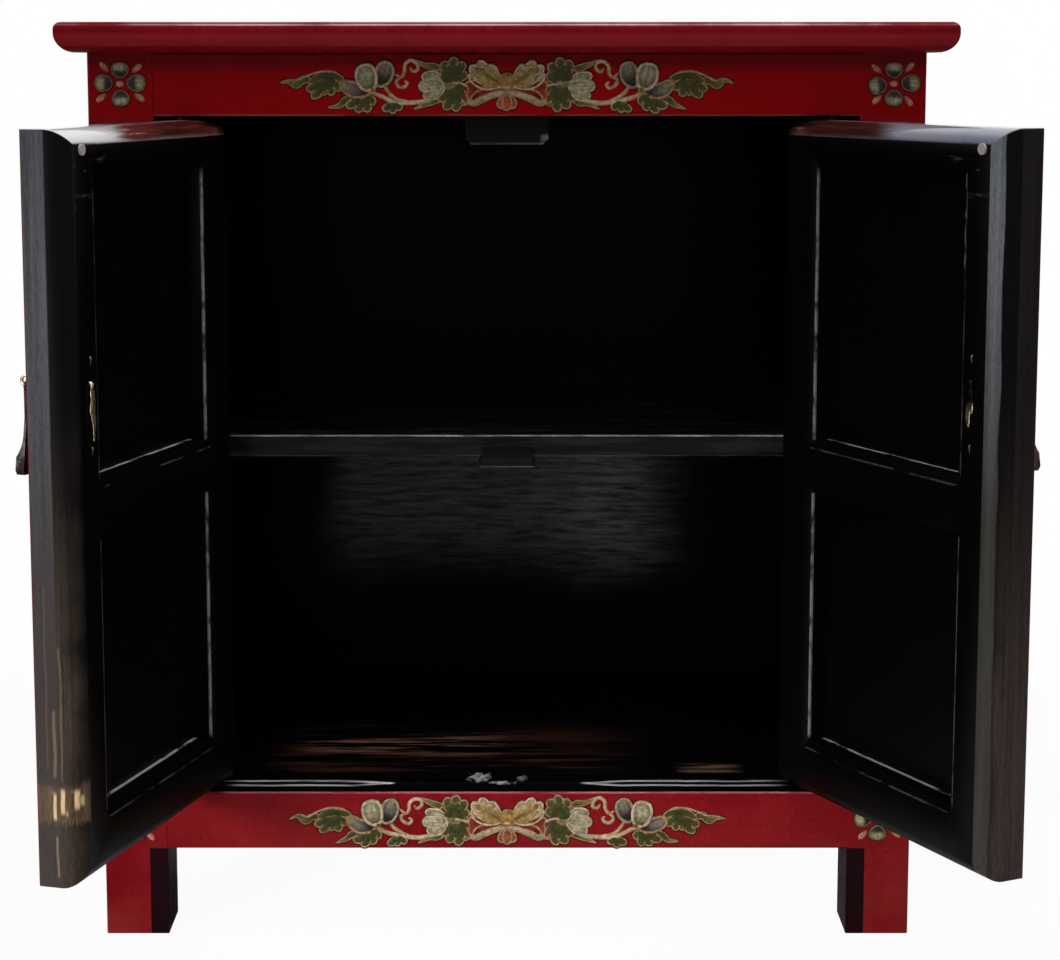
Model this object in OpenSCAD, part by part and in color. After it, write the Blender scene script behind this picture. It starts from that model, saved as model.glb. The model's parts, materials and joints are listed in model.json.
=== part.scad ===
// Two-door nightstand in lacquered wood, doors standing open.
// Frame-and-panel case on four square posts, one shelf, and doors that turn on wooden pintles.
// Millimetres. The front faces -Y, +X is to the right and the origin is on the floor,
// at the centre of the square of the four feet.

/* [Case] */
// Width over the posts
case_w = 570; // [500:5:640]
// Depth over the posts
case_d = 368; // [340:2:440]
// Height from the floor to the underside of the top
case_h = 621.5; // [580:0.5:700]
// Side of each square post
post_s = 44.5; // [42:0.5:50]
// Clear height under the bottom rails
foot_h = 62.8; // [40:0.2:90]
// Height of the top rails
top_rail_h = 42.8; // [34:0.2:56]
// Height of the bottom rails
bottom_rail_h = 41.4; // [34:0.2:56]
// Thickness of the rails
rail_t = 22; // [20:0.5:26]
// How far the side and back rails lie behind the faces of the posts
rail_back = 3; // [1:0.5:5]
// Thickness of the side and back panels
case_panel_t = 8; // [6:0.5:9]

/* [Top] */
// How far the top reaches past the posts
top_over = 19; // [12:1:26]
// Thickness of the top's frame
top_t = 20.5; // [18:0.5:26]
// Width of the top's frame members
top_frame_w = 62; // [50:1:80]
// Radius of the arris above the top's edge
top_upper_r = 5; // [2:0.5:7]
// Radius of the curve under the top's edge
top_under_r = 13; // [6:0.5:15]
// Height of the brace under the top panel
brace_h = 24; // [18:1:32]
// Width of the brace under the top panel
brace_w = 40; // [30:1:50]

/* [Inside] */
// Thickness of the floor board
floor_t = 10; // [8:0.5:14]
// Height of the shelf's upper face above the floor
shelf_z = 347; // [260:1:420]
// Thickness of the shelf board
shelf_t = 16; // [12:0.5:20]
// How far the shelf's front edge lies behind the case front
shelf_back = 80; // [60:1:140]
// Height of the cleats under the shelf and the floor board
cleat_h = 20; // [14:1:26]
// Width of the cleats
cleat_w = 18; // [12:1:22]
// Width of the stop let into the shelf, at its front end
stop_w = 40; // [30:1:60]
// Thickness of the stop let into the shelf
stop_t = 6.5; // [4:0.5:8]
// Length of the stop that is housed in the shelf
stop_housed = 50; // [30:1:80]
// Width of the stop block under the top
block_w = 58; // [46:1:80]
// Thickness of the stop block under the top
block_t = 17; // [12:1:22]
// How far the stop block reaches below the top rail
block_drop = 20.5; // [16:0.5:28]

/* [Doors] */
// Opening angle of the left door, from closed
left_open = 106.5; // [95:0.1:118]
// Opening angle of the right door, from closed
right_open = 116.1; // [95:0.1:118]
// Thickness of the doors
door_t = 31; // [30:0.5:34]
// Gap between a door and its post
hinge_gap = 1.5; // [1:0.1:3]
// Gap between the two closed doors
meeting_gap = 1.6; // [1:0.1:4]
// Gap above and below the doors
end_gap = 2.7; // [1.5:0.1:4]
// Distance of the pintle axis from the door's hinge edge
pintle_in = 16.7; // [15:0.1:18]
// Distance of the pintle axis from the door's outer face
pintle_back = 5.5; // [5:0.5:7]
// Radius of the pintles
pintle_r = 3.5; // [3:0.25:4]
// Length of each pintle beyond the door
pintle_l = 14; // [10:1:20]
// Width of the hinge stile
hinge_stile_w = 33.5; // [30:0.5:42]
// Width of the stile at the free edge
free_stile_w = 41; // [38:0.5:46]
// Height of the door's top rail
door_top_rail_h = 28.9; // [26:0.1:40]
// Height of the door's middle rail
door_mid_rail_h = 36; // [30:0.5:44]
// Height of the door's bottom rail
door_bottom_rail_h = 40.5; // [34:0.5:50]
// Height of the middle rail's upper edge above the floor
mid_rail_z = 358.5; // [300:0.5:420]
// Thickness of the door panels
door_panel_t = 9; // [7:0.5:10]
// Depth of the panels behind the door's inner face
panel_recess = 17.3; // [14:0.1:18.5]
// Width of the rounded inner edge
round_w = 11; // [7:0.5:13]
// How much of the thickness the rounded inner edge takes
round_t = 15.5; // [10:0.5:16.5]

/* [Hardware] */
// Height of the eye of the pulls above the floor
pull_z = 421; // [390:1:440]
// Distance of the pull's cotter from the door's free edge
cotter_in = 25; // [24:0.5:28]
// Radius of the cotter wire
wire_r = 1; // [0.8:0.1:1.2]
// Radius of the cotter's eye, to the middle of the wire
eye_r = 3.3; // [3.2:0.1:4.5]
// Length of the cotter's bent legs
leg_l = 32; // [20:1:40]
// Width of the back plate
plate_w = 22; // [18:1:24]
// Height of the back plate
plate_h = 68; // [56:1:80]
// Thickness of the back plate
plate_t = 1.2; // [0.8:0.1:2]
// Height of the boss under the pull's eye
boss_h = 7; // [5:0.5:9]
// Length of the pull below its eye
pull_l = 55; // [40:1:60]
// Width of the pull's foot
pull_w = 17; // [12:1:22]
// Thickness of the pull's stem
pull_t = 2; // [1.6:0.1:2.4]
// How far the pull's foot flares out from the stem
pull_flare = 4; // [2:0.5:6]
// Radius of the felt bumpers
bumper_r = 3.5; // [3:0.5:4]
// Thickness of the felt bumpers
bumper_t = 1.5; // [1:0.1:3]

/* [Fits] */
// Clearance round tenons and tongues
fit_gap = 0.2; // [0.1:0.05:0.4]
// Length of the tenons
tenon_l = 18; // [14:0.5:19]
// Thickness of the tenons of the rails
tenon_t = 8; // [6:0.5:9]
// Shoulder above and below a tenon
tenon_shoulder = 9; // [8:0.5:11]
// Depth of the panel grooves
groove_d = 7; // [5:0.5:8]
// Room left at the bottom of a groove or mortise
groove_room = 0.8; // [0.5:0.1:0.9]
// Radial clearance of a pintle in its socket
pintle_gap = 0.08; // [0.05:0.01:0.1]
// Gap between a closed door and what stops it
stop_gap = 0.3; // [0.2:0.1:0.6]
// Bevel on the arrises
arris = 1; // [0.5:0.1:1.2]

/* [Hidden] */
$fn = 48;
big = 1000;
eps = 0.01;

front_y = -case_d / 2;
span_x = case_w - 2 * post_s;
span_y = case_d - 2 * post_s;
opening_top = case_h - top_rail_h;
opening_bottom = foot_h + bottom_rail_h;
top_w = case_w + 2 * top_over;
top_d = case_d + 2 * top_over;

// Inner faces of the side and back rails, and of the panels in them
inside_x = case_w / 2 - rail_back - rail_t;
inside_back = case_d / 2 - rail_back - rail_t;
panel_face_x = case_w / 2 - rail_back - (rail_t + case_panel_t) / 2;
panel_face_y = case_d / 2 - rail_back - (rail_t + case_panel_t) / 2;
shelf_front = front_y + shelf_back;
shelf_bottom = shelf_z - shelf_t;

// Doors: s runs from the hinge edge, q from the outer face and z up from the door's foot.
door_w = span_x / 2 - hinge_gap - meeting_gap / 2;
door_h = opening_top - opening_bottom - 2 * end_gap;
door_z = opening_bottom + end_gap;
pintle_x = span_x / 2 - hinge_gap - pintle_in;
pintle_y = front_y + pintle_back;
round_r = (round_w * round_w + round_t * round_t) / (2 * round_w);
panel_q1 = door_t - panel_recess;
panel_q0 = panel_q1 - door_panel_t;
field_s0 = hinge_stile_w;
field_s1 = door_w - free_stile_w;
mid_top = mid_rail_z - door_z;
mid_bottom = mid_top - door_mid_rail_h;
field_top = door_h - door_top_rail_h;
bevel_w = 7;
bevel_d = 4;
outer_bevel = 3;

// Pintles run this far up into the door, so that each is one solid with its stile
pintle_root = 1;

// Hardware
plate_s = door_w - cotter_in;
plate_corner = 5;
boss_foot_r = 9;
boss_head_r = 4;
eye_z = pull_z - door_z;
eye_q = -plate_t - boss_h - eye_r - wire_r;
wire_hole_r = 2 * wire_r + fit_gap;
shank_r = 1.5 * wire_r;
shank_past = 1.3 * wire_r;
leg_apart = 1.25 * wire_r;
leg_spread = 3;
pull_play = 0.7;
pull_wall = 1.2;
pull_hole_r = wire_r + pull_play;
neck_share = 0.85;
stem_share = 0.35;
flare_share = 0.45;
foot_side = 3;
foot_corner = 2;

// Stops and bumpers
stop_taper = 0.86;
stop_corner = 2;
block_cut = 6;
bumper_in = 19;
bumper_up = 5;
block_y = front_y + door_t + bumper_t + stop_gap;
block_bottom = opening_top - block_drop;
bumper_s = door_w - bumper_in;
bumper_z = block_bottom + bumper_up - door_z;

red = [0.45, 0.06, 0.12];
black = [0.06, 0.055, 0.06];
bare = [0.35, 0.22, 0.14];
brass = [0.72, 0.55, 0.28];
iron = [0.12, 0.11, 0.11];
felt = [0.75, 0.73, 0.68];

// A corner of the case: x runs in from the side face, y in from the front or back face.
module at_corner(side, end) {
    translate([side * case_w / 2, end * case_d / 2, 0])
        rotate([0, 0, end > 0 ? 180 : 0])
            mirror([side * end < 0 ? 1 : 0, 0, 0])
                children();
}

// A block with bevelled long edges, along X from its middle.
module bar(length, depth, height, bevel) {
    rotate([90, 0, 90])
        translate([0, 0, -length / 2])
            linear_extrude(length)
                polygon([
                    [bevel, 0], [depth - bevel, 0], [depth, bevel], [depth, height - bevel],
                    [depth - bevel, height], [bevel, height], [0, height - bevel], [0, bevel]
                ]);
}

// Case rail along X, with tenons at both ends; y = 0 is its outer face and z = 0 its lower edge.
module case_rail(span, height) {
    union() {
        bar(span, rail_t, height, arris);
        translate([-span / 2 - tenon_l + groove_room, (rail_t - tenon_t) / 2, tenon_shoulder])
            cube([span + 2 * (tenon_l - groove_room), tenon_t, height - 2 * tenon_shoulder]);
    }
}

// Groove for a panel in the edge of a rail, at height z.
module rail_groove(span, z) {
    translate([-span / 2 - eps, (rail_t - case_panel_t) / 2 - fit_gap, z])
        cube([span + 2 * eps, case_panel_t + 2 * fit_gap, groove_d]);
}

// Mortise for a case rail whose outer face lies back from the post's face.
module mortise(back, z, height) {
    translate([
        post_s - tenon_l,
        back + (rail_t - tenon_t) / 2 - fit_gap,
        z + tenon_shoulder - fit_gap
    ])
        cube([tenon_l + eps, tenon_t + 2 * fit_gap, height - 2 * tenon_shoulder + 2 * fit_gap]);
}

// Both mortises of one face, and the groove between them where the face holds a panel.
module post_cuts(back, has_panel) {
    mortise(back, foot_h, bottom_rail_h);
    mortise(back, opening_top, top_rail_h);
    if (has_panel)
        translate([post_s - groove_d, back + (rail_t - case_panel_t) / 2 - fit_gap, opening_bottom - groove_d])
            cube([
                groove_d + eps,
                case_panel_t + 2 * fit_gap,
                opening_top - opening_bottom + 2 * groove_d
            ]);
}

// A case post: its front or back rails enter along X and its side rails along Y.
module post(side, end) {
    at_corner(side, end)
        difference() {
            linear_extrude(case_h)
                polygon([
                    [arris, 0], [post_s, 0], [post_s, post_s],
                    [0, post_s], [0, arris]
                ]);
            post_cuts(end > 0 ? rail_back : 0, end > 0);
            mirror([1, -1, 0])
                post_cuts(rail_back, true);
        }
}

// Front rail with the two pintle sockets in its edge at height z, open upwards or downwards.
module front_rail(height, z) {
    difference() {
        case_rail(span_x, height);
        for (side = [-1, 1])
            translate([side * pintle_x, pintle_back, z])
                cylinder(r = pintle_r + pintle_gap, h = pintle_l + groove_room);
    }
}

module front_top_rail() {
    color(red)
        translate([0, front_y, opening_top])
            front_rail(top_rail_h, -end_gap);
}

module front_bottom_rail() {
    color(red)
        translate([0, front_y, foot_h])
            front_rail(bottom_rail_h, bottom_rail_h - pintle_l - groove_room + end_gap);
}

module back_rail(z, height, groove_z) {
    translate([0, case_d / 2 - rail_back, z])
        mirror([0, 1, 0])
            difference() {
                case_rail(span_x, height);
                rail_groove(span_x, groove_z);
            }
}

module side_rail(side, z, height, groove_z) {
    translate([side * (case_w / 2 - rail_back), 0, z])
        rotate([0, 0, side * 90])
            difference() {
                case_rail(span_y, height);
                rail_groove(span_y, groove_z);
            }
}

module side_panel(side) {
    width = span_y + 2 * (groove_d - groove_room);
    height = opening_top - opening_bottom + 2 * (groove_d - groove_room);
    outer = case_w / 2 - rail_back - (rail_t - case_panel_t) / 2;
    translate([side * (outer - case_panel_t / 2), 0, opening_bottom - groove_d + groove_room])
        translate([-case_panel_t / 2, -width / 2, 0])
            cube([case_panel_t, width, height]);
}

module back_panel() {
    width = span_x + 2 * (groove_d - groove_room);
    height = opening_top - opening_bottom + 2 * (groove_d - groove_room);
    outer = case_d / 2 - rail_back - (rail_t - case_panel_t) / 2;
    color(black)
        translate([-width / 2, outer - case_panel_t, opening_bottom - groove_d + groove_room])
            cube([width, case_panel_t, height]);
}

// Edge profile of the top: y = 0 is the outer edge, with one arc above and one below.
module top_profile() {
    difference() {
        square([top_frame_w, top_t]);
        difference() {
            translate([-1, top_t - top_upper_r])
                square([top_upper_r + 1, top_upper_r + 1]);
            translate([top_upper_r, top_t - top_upper_r])
                circle(top_upper_r);
        }
        difference() {
            translate([-1, -1])
                square([top_under_r + 1, top_under_r + 1]);
            translate([top_under_r, top_under_r])
                circle(top_under_r);
        }
        translate([top_frame_w - groove_d, (top_t - case_panel_t) / 2 - fit_gap])
            square([groove_d + 1, case_panel_t + 2 * fit_gap]);
    }
}

// One mitred member of the top's frame, along X, with its outer edge at y = 0.
module top_member(length) {
    intersection() {
        rotate([90, 0, 90])
            translate([0, 0, -length / 2])
                linear_extrude(length)
                    top_profile();
        linear_extrude(top_t)
            polygon([
                [-length / 2, 0], [length / 2, 0],
                [length / 2 - top_frame_w, top_frame_w],
                [-length / 2 + top_frame_w, top_frame_w]
            ]);
    }
}

module top_long(end) {
    translate([0, end * top_d / 2, case_h])
        rotate([0, 0, end > 0 ? 180 : 0])
            top_member(top_w);
}

module top_short(side) {
    translate([side * top_w / 2, 0, case_h])
        rotate([0, 0, side * 90])
            top_member(top_d);
}

module top_panel() {
    inner_w = top_w - 2 * top_frame_w;
    inner_d = top_d - 2 * top_frame_w;
    tongue = groove_d - groove_room;
    color(red)
        translate([0, 0, case_h + (top_t - case_panel_t) / 2])
            union() {
                translate([-inner_w / 2 + fit_gap, -inner_d / 2 + fit_gap, 0])
                    cube([inner_w - 2 * fit_gap, inner_d - 2 * fit_gap, (top_t + case_panel_t) / 2]);
                translate([-inner_w / 2 - tongue, -inner_d / 2 - tongue, 0])
                    cube([inner_w + 2 * tongue, inner_d + 2 * tongue, case_panel_t]);
            }
}

// Brace from the front top rail to the back one, with a pad up to the panel's underside.
module top_brace() {
    depth = case_d - 2 * rail_t - rail_back;
    inner_d = top_d - 2 * top_frame_w;
    color(black)
        union() {
            translate([-brace_w / 2, front_y + rail_t, case_h - brace_h])
                cube([brace_w, depth, brace_h]);
            translate([-brace_w / 2, -inner_d / 2 + fit_gap, case_h])
                cube([brace_w, inner_d - 2 * fit_gap, (top_t - case_panel_t) / 2]);
        }
}

// Corner cut that clears a post, for a board that reaches x_end and y_end.
module post_notch(side, x_end, y_end) {
    x0 = span_x / 2 - fit_gap;
    y0 = span_y / 2 - fit_gap;
    if (y_end > 0)
        translate([side > 0 ? x0 : -x_end - 1, y0, -1])
            cube([x_end - x0 + 1, y_end - y0 + 1, big]);
    else
        translate([side > 0 ? x0 : -x_end - 1, y_end - 1, -1])
            cube([x_end - x0 + 1, -y_end - y0 + 1, big]);
}

module floor_board() {
    y_front = front_y + rail_t + fit_gap;
    y_back = inside_back - fit_gap;
    half = inside_x - fit_gap;
    color(black)
        translate([0, 0, opening_bottom - floor_t])
            difference() {
                translate([-half, y_front, 0])
                    cube([2 * half, y_back - y_front, floor_t]);
                for (side = [-1, 1]) {
                    post_notch(side, half, y_front);
                    post_notch(side, half, y_back);
                }
            }
}

// Cleat along the side of the case between the posts, with its outer face at x and its top at z.
module cleat(side, x, z) {
    length = span_y - 2 * fit_gap;
    translate([side * (x - cleat_w / 2), 0, z - cleat_h])
        rotate([0, 0, 90])
            translate([0, -cleat_w / 2, 0])
                bar(length, cleat_w, cleat_h, arris);
}

module shelf_board() {
    half = panel_face_x - fit_gap;
    depth = panel_face_y - fit_gap - shelf_front;
    color(black)
        difference() {
            translate([0, shelf_front, shelf_bottom])
                bar(2 * half, depth, shelf_t, arris);
            translate([0, 0, shelf_bottom])
                for (side = [-1, 1])
                    post_notch(side, half, panel_face_y);
            translate([0, 0, -eps])
                stop_body(fit_gap);
        }
}

// Stop for the closed doors, housed in the shelf's underside and narrower towards the back.
module stop_body(gap) {
    reach = shelf_front - block_y;
    half = stop_w / 2;
    back = stop_taper * half + gap;
    translate([0, block_y, shelf_bottom])
        linear_extrude(stop_t + gap)
            polygon([
                [-half + stop_corner, 0], [half - stop_corner, 0], [half, stop_corner],
                [back, reach + gap], [back, reach + stop_housed + gap],
                [-back, reach + stop_housed + gap], [-back, reach + gap],
                [-half, stop_corner]
            ]);
}

module shelf_stop() {
    color(black)
        stop_body(0);
}

// Block that hangs from the brace and stops both doors at their upper corners.
module top_stop_block() {
    color(black)
        translate([0, block_y, block_bottom])
            difference() {
                bar(block_w, block_t, case_h - brace_h - block_bottom, arris);
                for (side = [-1, 1])
                    translate([side * block_w / 2, -1, 0])
                        rotate([0, 45, 0])
                            translate([-block_cut / 2, 0, -block_cut / 2])
                                cube([block_cut, block_t + 2, block_cut]);
            }
}

// Waste outside a rounded inner edge, in section: the edge is at x = 0, the door at x < 0, y is q.
module round_waste() {
    difference() {
        translate([-round_r, door_t - round_t])
            square([round_r + 1, round_t + 1]);
        translate([-round_r, door_t - round_t])
            circle(round_r);
    }
}

// Solid outline of a whole door, its inner arris rounded on the free, upper and lower edges.
module door_blank() {
    difference() {
        cube([door_w, door_t, door_h]);
        translate([door_w, 0, -1])
            linear_extrude(door_h + 2)
                round_waste();
        translate([-1, 0, door_h])
            rotate([90, 0, 90])
                linear_extrude(door_w + 2)
                    mirror([1, -1, 0])
                        round_waste();
        translate([-1, 0, 0])
            rotate([90, 0, 90])
                linear_extrude(door_w + 2)
                    mirror([0, 1, 0])
                        mirror([1, -1, 0])
                            round_waste();
        translate([0, 0, -1])
            linear_extrude(door_h + 2)
                difference() {
                    translate([-1, -1])
                        square([pintle_back + 1, pintle_back + 1]);
                    translate([pintle_back, pintle_back])
                        circle(pintle_back);
                }
    }
}

// Frustum that bevels the edges of a framed field towards one face of the door.
// It is field_w wide and field_h high at depth 0 and grows by width over the depth.
module bevel_cut(field_w, field_h, width, depth) {
    intersection() {
        linear_extrude(big, center = true)
            polygon([
                [0, 0], [field_w, 0], [field_w + width, depth],
                [field_w + width, depth + 1], [-width, depth + 1], [-width, depth]
            ]);
        rotate([90, 0, 90])
            linear_extrude(big, center = true)
                polygon([
                    [0, 0], [depth, -width], [depth + 1, -width],
                    [depth + 1, field_h + width], [depth, field_h + width], [0, field_h]
                ]);
    }
}

// Groove and bevels round one field of the door, from z0 to z1.
module field_cuts(z0, z1) {
    width = field_s1 - field_s0;
    translate([field_s0 - groove_d, panel_q0 - fit_gap, z0 - groove_d])
        cube([
            width + 2 * groove_d,
            door_panel_t + 2 * fit_gap,
            z1 - z0 + 2 * groove_d
        ]);
    translate([field_s0, door_t - bevel_d, z0])
        bevel_cut(width, z1 - z0, bevel_w, bevel_d);
    translate([field_s0, outer_bevel, z0])
        mirror([0, 1, 0])
            bevel_cut(width, z1 - z0, outer_bevel, outer_bevel);
}

// Tenons of a rail between z0 and z1, thickened and lengthened by gap for their mortises.
module door_tenons(z0, z1, gap) {
    for (s0 = [hinge_stile_w - tenon_l, field_s1 - eps])
        translate([s0 + (gap > 0 ? -groove_room : 0), panel_q0 - gap, z0 + tenon_shoulder - gap])
            cube([
                tenon_l + (gap > 0 ? 2 * groove_room : 0),
                door_panel_t + 2 * gap,
                z1 - z0 - 2 * tenon_shoulder + 2 * gap
            ]);
}

module stile_mortises() {
    door_tenons(0, door_bottom_rail_h, fit_gap);
    door_tenons(mid_bottom, mid_top, fit_gap);
    door_tenons(field_top, door_h, fit_gap);
}

// Slice of the door from s0 to s1 and z0 to z1, with the cuts of both fields.
module door_member(s0, s1, z0, z1) {
    difference() {
        intersection() {
            door_blank();
            translate([s0, 0, z0])
                cube([s1 - s0, door_t, z1 - z0]);
        }
        field_cuts(door_bottom_rail_h, mid_bottom);
        field_cuts(mid_top, field_top);
    }
}

module hinge_stile() {
    union() {
        difference() {
            door_member(0, hinge_stile_w, 0, door_h);
            stile_mortises();
        }
        for (z = [-pintle_l, door_h - pintle_root])
            translate([pintle_in, pintle_back, z])
                cylinder(r = pintle_r, h = pintle_l + pintle_root);
    }
}

module free_stile() {
    difference() {
        door_member(field_s1, door_w, 0, door_h);
        stile_mortises();
        translate([plate_s, -1, eye_z])
            rotate([-90, 0, 0])
                cylinder(r = wire_hole_r, h = door_t + 2);
    }
}

module door_rail(z0, z1) {
    union() {
        door_member(hinge_stile_w, field_s1, z0, z1);
        door_tenons(z0, z1, 0);
    }
}

module door_panel(z0, z1) {
    tongue = groove_d - groove_room;
    translate([field_s0 - tongue, panel_q0, z0 - tongue])
        cube([field_s1 - field_s0 + 2 * tongue, door_panel_t, z1 - z0 + 2 * tongue]);
}

// Back plate with cut corners and a domed boss, on the outer face of the free stile.
module door_plate() {
    corner = plate_corner;
    rise = boss_foot_r - boss_head_r;
    difference() {
        union() {
            rotate([90, 0, 0])
                linear_extrude(plate_t)
                    translate([plate_s - plate_w / 2, eye_z + plate_w - plate_h])
                        polygon([
                            [corner, 0], [plate_w - corner, 0], [plate_w, corner],
                            [plate_w, plate_h - corner], [plate_w - corner, plate_h],
                            [corner, plate_h], [0, plate_h - corner], [0, corner]
                        ]);
            translate([plate_s, -plate_t + eps, eye_z])
                rotate([90, 0, 0])
                    rotate_extrude()
                        difference() {
                            square([boss_foot_r, boss_h + eps]);
                            translate([boss_foot_r, boss_h + eps])
                                scale([rise / boss_h, 1])
                                    circle(boss_h);
                        }
        }
        translate([plate_s, 1, eye_z])
            rotate([90, 0, 0])
                cylinder(r = wire_hole_r, h = plate_t + boss_h + 2);
    }
}

// Cotter: an eye outside, a shank through the stile and two legs bent down over its inner face.
module door_cotter() {
    leg_q = door_t + wire_r;
    translate([plate_s, eye_q + eye_r, eye_z])
        rotate([-90, 0, 0])
            cylinder(r = shank_r, h = leg_q + shank_past - eye_q - eye_r);
    for (side = [-1, 1])
        translate([plate_s + side * leg_apart, leg_q, eye_z])
            rotate([0, 180 - side * leg_spread, 0])
                cylinder(r = wire_r, h = leg_l);
    translate([plate_s, eye_q, eye_z])
        rotate([0, 90, 0])
            rotate_extrude()
                translate([eye_r, 0])
                    circle(wire_r);
}

module door_bumper() {
    translate([bumper_s, door_t, bumper_z])
        rotate([-90, 0, 0])
            cylinder(r = bumper_r, h = bumper_t);
}

// Side view of the pull: a flat stem from its eye that thickens outwards into a flat foot.
module pull_side() {
    flare_r = flare_share * pull_l;
    difference() {
        translate([-pull_t / 2 - pull_flare, -pull_l])
            square([pull_t + pull_flare, pull_l]);
        translate([-pull_t / 2 - flare_r, -pull_l + flare_r])
            circle(flare_r, $fn = 96);
        translate([-pull_t / 2 - pull_flare - 1, -pull_l + flare_r])
            square([pull_flare + 1, pull_l + 10]);
    }
}

// Front view of the pull's stem, which widens towards the foot.
module pull_stem(neck) {
    half = pull_w / 2;
    polygon([
        [-neck, 0], [neck, 0], [neck, -stem_share * pull_l],
        [half, -pull_l + foot_side], [half - foot_corner, -pull_l],
        [-half + foot_corner, -pull_l], [-half, -pull_l + foot_side],
        [-neck, -stem_share * pull_l]
    ]);
}

// The pull hangs through the cotter's eye, on the lowest point of its wire.
module pull() {
    eye_outer = pull_hole_r + pull_wall;
    translate([plate_s, eye_q, eye_z - eye_r])
        difference() {
            union() {
                intersection() {
                    rotate([90, 0, 90])
                        linear_extrude(pull_w + 2, center = true)
                            pull_side();
                    rotate([90, 0, 0])
                        linear_extrude(4 * pull_flare + 4 * pull_t, center = true)
                            pull_stem(neck_share * eye_outer);
                }
                rotate([90, 0, 0])
                    cylinder(r = eye_outer, h = pull_t, center = true);
            }
            rotate([90, 0, 0])
                cylinder(r = pull_hole_r, h = 2 * pull_t, center = true);
        }
}

// A door part at its place on the left (side = -1) or right (side = 1) post.
module on_door(side) {
    mirror([side > 0 ? 1 : 0, 0, 0])
        translate([-pintle_x, pintle_y, door_z])
            rotate([0, 0, side > 0 ? -right_open : -left_open])
                translate([-pintle_in, -pintle_back, 0])
                    children();
}

// The sub-parts, each at its place and in its colour.
module top_front() {
    color(red)
        top_long(-1);
}

module top_back() {
    color(red)
        top_long(1);
}

module top_left() {
    color(red)
        top_short(-1);
}

module top_right() {
    color(red)
        top_short(1);
}

module post_front_left() {
    color(red)
        post(-1, -1);
}

module post_front_right() {
    color(red)
        post(1, -1);
}

module post_back_left() {
    color(red)
        post(-1, 1);
}

module post_back_right() {
    color(red)
        post(1, 1);
}

module back_top_rail() {
    color(red)
        back_rail(opening_top, top_rail_h, -eps);
}

module back_bottom_rail() {
    color(red)
        back_rail(foot_h, bottom_rail_h, bottom_rail_h - groove_d + eps);
}

module left_top_rail() {
    color(red)
        side_rail(-1, opening_top, top_rail_h, -eps);
}

module left_bottom_rail() {
    color(red)
        side_rail(-1, foot_h, bottom_rail_h, bottom_rail_h - groove_d + eps);
}

module right_top_rail() {
    color(red)
        side_rail(1, opening_top, top_rail_h, -eps);
}

module right_bottom_rail() {
    color(red)
        side_rail(1, foot_h, bottom_rail_h, bottom_rail_h - groove_d + eps);
}

module left_side_panel() {
    color(red)
        side_panel(-1);
}

module right_side_panel() {
    color(red)
        side_panel(1);
}

module floor_cleat_left() {
    color(bare)
        cleat(-1, inside_x, opening_bottom - floor_t);
}

module floor_cleat_right() {
    color(bare)
        cleat(1, inside_x, opening_bottom - floor_t);
}

module shelf_cleat_left() {
    color(bare)
        cleat(-1, panel_face_x, shelf_bottom);
}

module shelf_cleat_right() {
    color(bare)
        cleat(1, panel_face_x, shelf_bottom);
}

module left_door_hinge_stile() {
    color(black)
        on_door(-1)
            hinge_stile();
}

module left_door_free_stile() {
    color(black)
        on_door(-1)
            free_stile();
}

module left_door_top_rail() {
    color(black)
        on_door(-1)
            door_rail(field_top, door_h);
}

module left_door_mid_rail() {
    color(black)
        on_door(-1)
            door_rail(mid_bottom, mid_top);
}

module left_door_bottom_rail() {
    color(black)
        on_door(-1)
            door_rail(0, door_bottom_rail_h);
}

module left_door_upper_panel() {
    color(black)
        on_door(-1)
            door_panel(mid_top, field_top);
}

module left_door_lower_panel() {
    color(black)
        on_door(-1)
            door_panel(door_bottom_rail_h, mid_bottom);
}

module left_door_plate() {
    color(iron)
        on_door(-1)
            door_plate();
}

module left_door_cotter() {
    color(brass)
        on_door(-1)
            door_cotter();
}

module left_door_bumper() {
    color(felt)
        on_door(-1)
            door_bumper();
}

module left_pull() {
    color(iron)
        on_door(-1)
            pull();
}

module right_door_hinge_stile() {
    color(black)
        on_door(1)
            hinge_stile();
}

module right_door_free_stile() {
    color(black)
        on_door(1)
            free_stile();
}

module right_door_top_rail() {
    color(black)
        on_door(1)
            door_rail(field_top, door_h);
}

module right_door_mid_rail() {
    color(black)
        on_door(1)
            door_rail(mid_bottom, mid_top);
}

module right_door_bottom_rail() {
    color(black)
        on_door(1)
            door_rail(0, door_bottom_rail_h);
}

module right_door_upper_panel() {
    color(black)
        on_door(1)
            door_panel(mid_top, field_top);
}

module right_door_lower_panel() {
    color(black)
        on_door(1)
            door_panel(door_bottom_rail_h, mid_bottom);
}

module right_door_plate() {
    color(iron)
        on_door(1)
            door_plate();
}

module right_door_cotter() {
    color(brass)
        on_door(1)
            door_cotter();
}

module right_door_bumper() {
    color(felt)
        on_door(1)
            door_bumper();
}

module right_pull() {
    color(iron)
        on_door(1)
            pull();
}

top_front();
top_back();
top_left();
top_right();
top_panel();
top_brace();
post_front_left();
post_front_right();
post_back_left();
post_back_right();
front_top_rail();
front_bottom_rail();
back_top_rail();
back_bottom_rail();
left_top_rail();
left_bottom_rail();
right_top_rail();
right_bottom_rail();
left_side_panel();
right_side_panel();
back_panel();
floor_board();
floor_cleat_left();
floor_cleat_right();
shelf_board();
shelf_cleat_left();
shelf_cleat_right();
shelf_stop();
top_stop_block();
left_door_hinge_stile();
left_door_free_stile();
left_door_top_rail();
left_door_mid_rail();
left_door_bottom_rail();
left_door_upper_panel();
left_door_lower_panel();
left_door_plate();
left_door_cotter();
left_door_bumper();
left_pull();
right_door_hinge_stile();
right_door_free_stile();
right_door_top_rail();
right_door_mid_rail();
right_door_bottom_rail();
right_door_upper_panel();
right_door_lower_panel();
right_door_plate();
right_door_cotter();
right_door_bumper();
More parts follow.
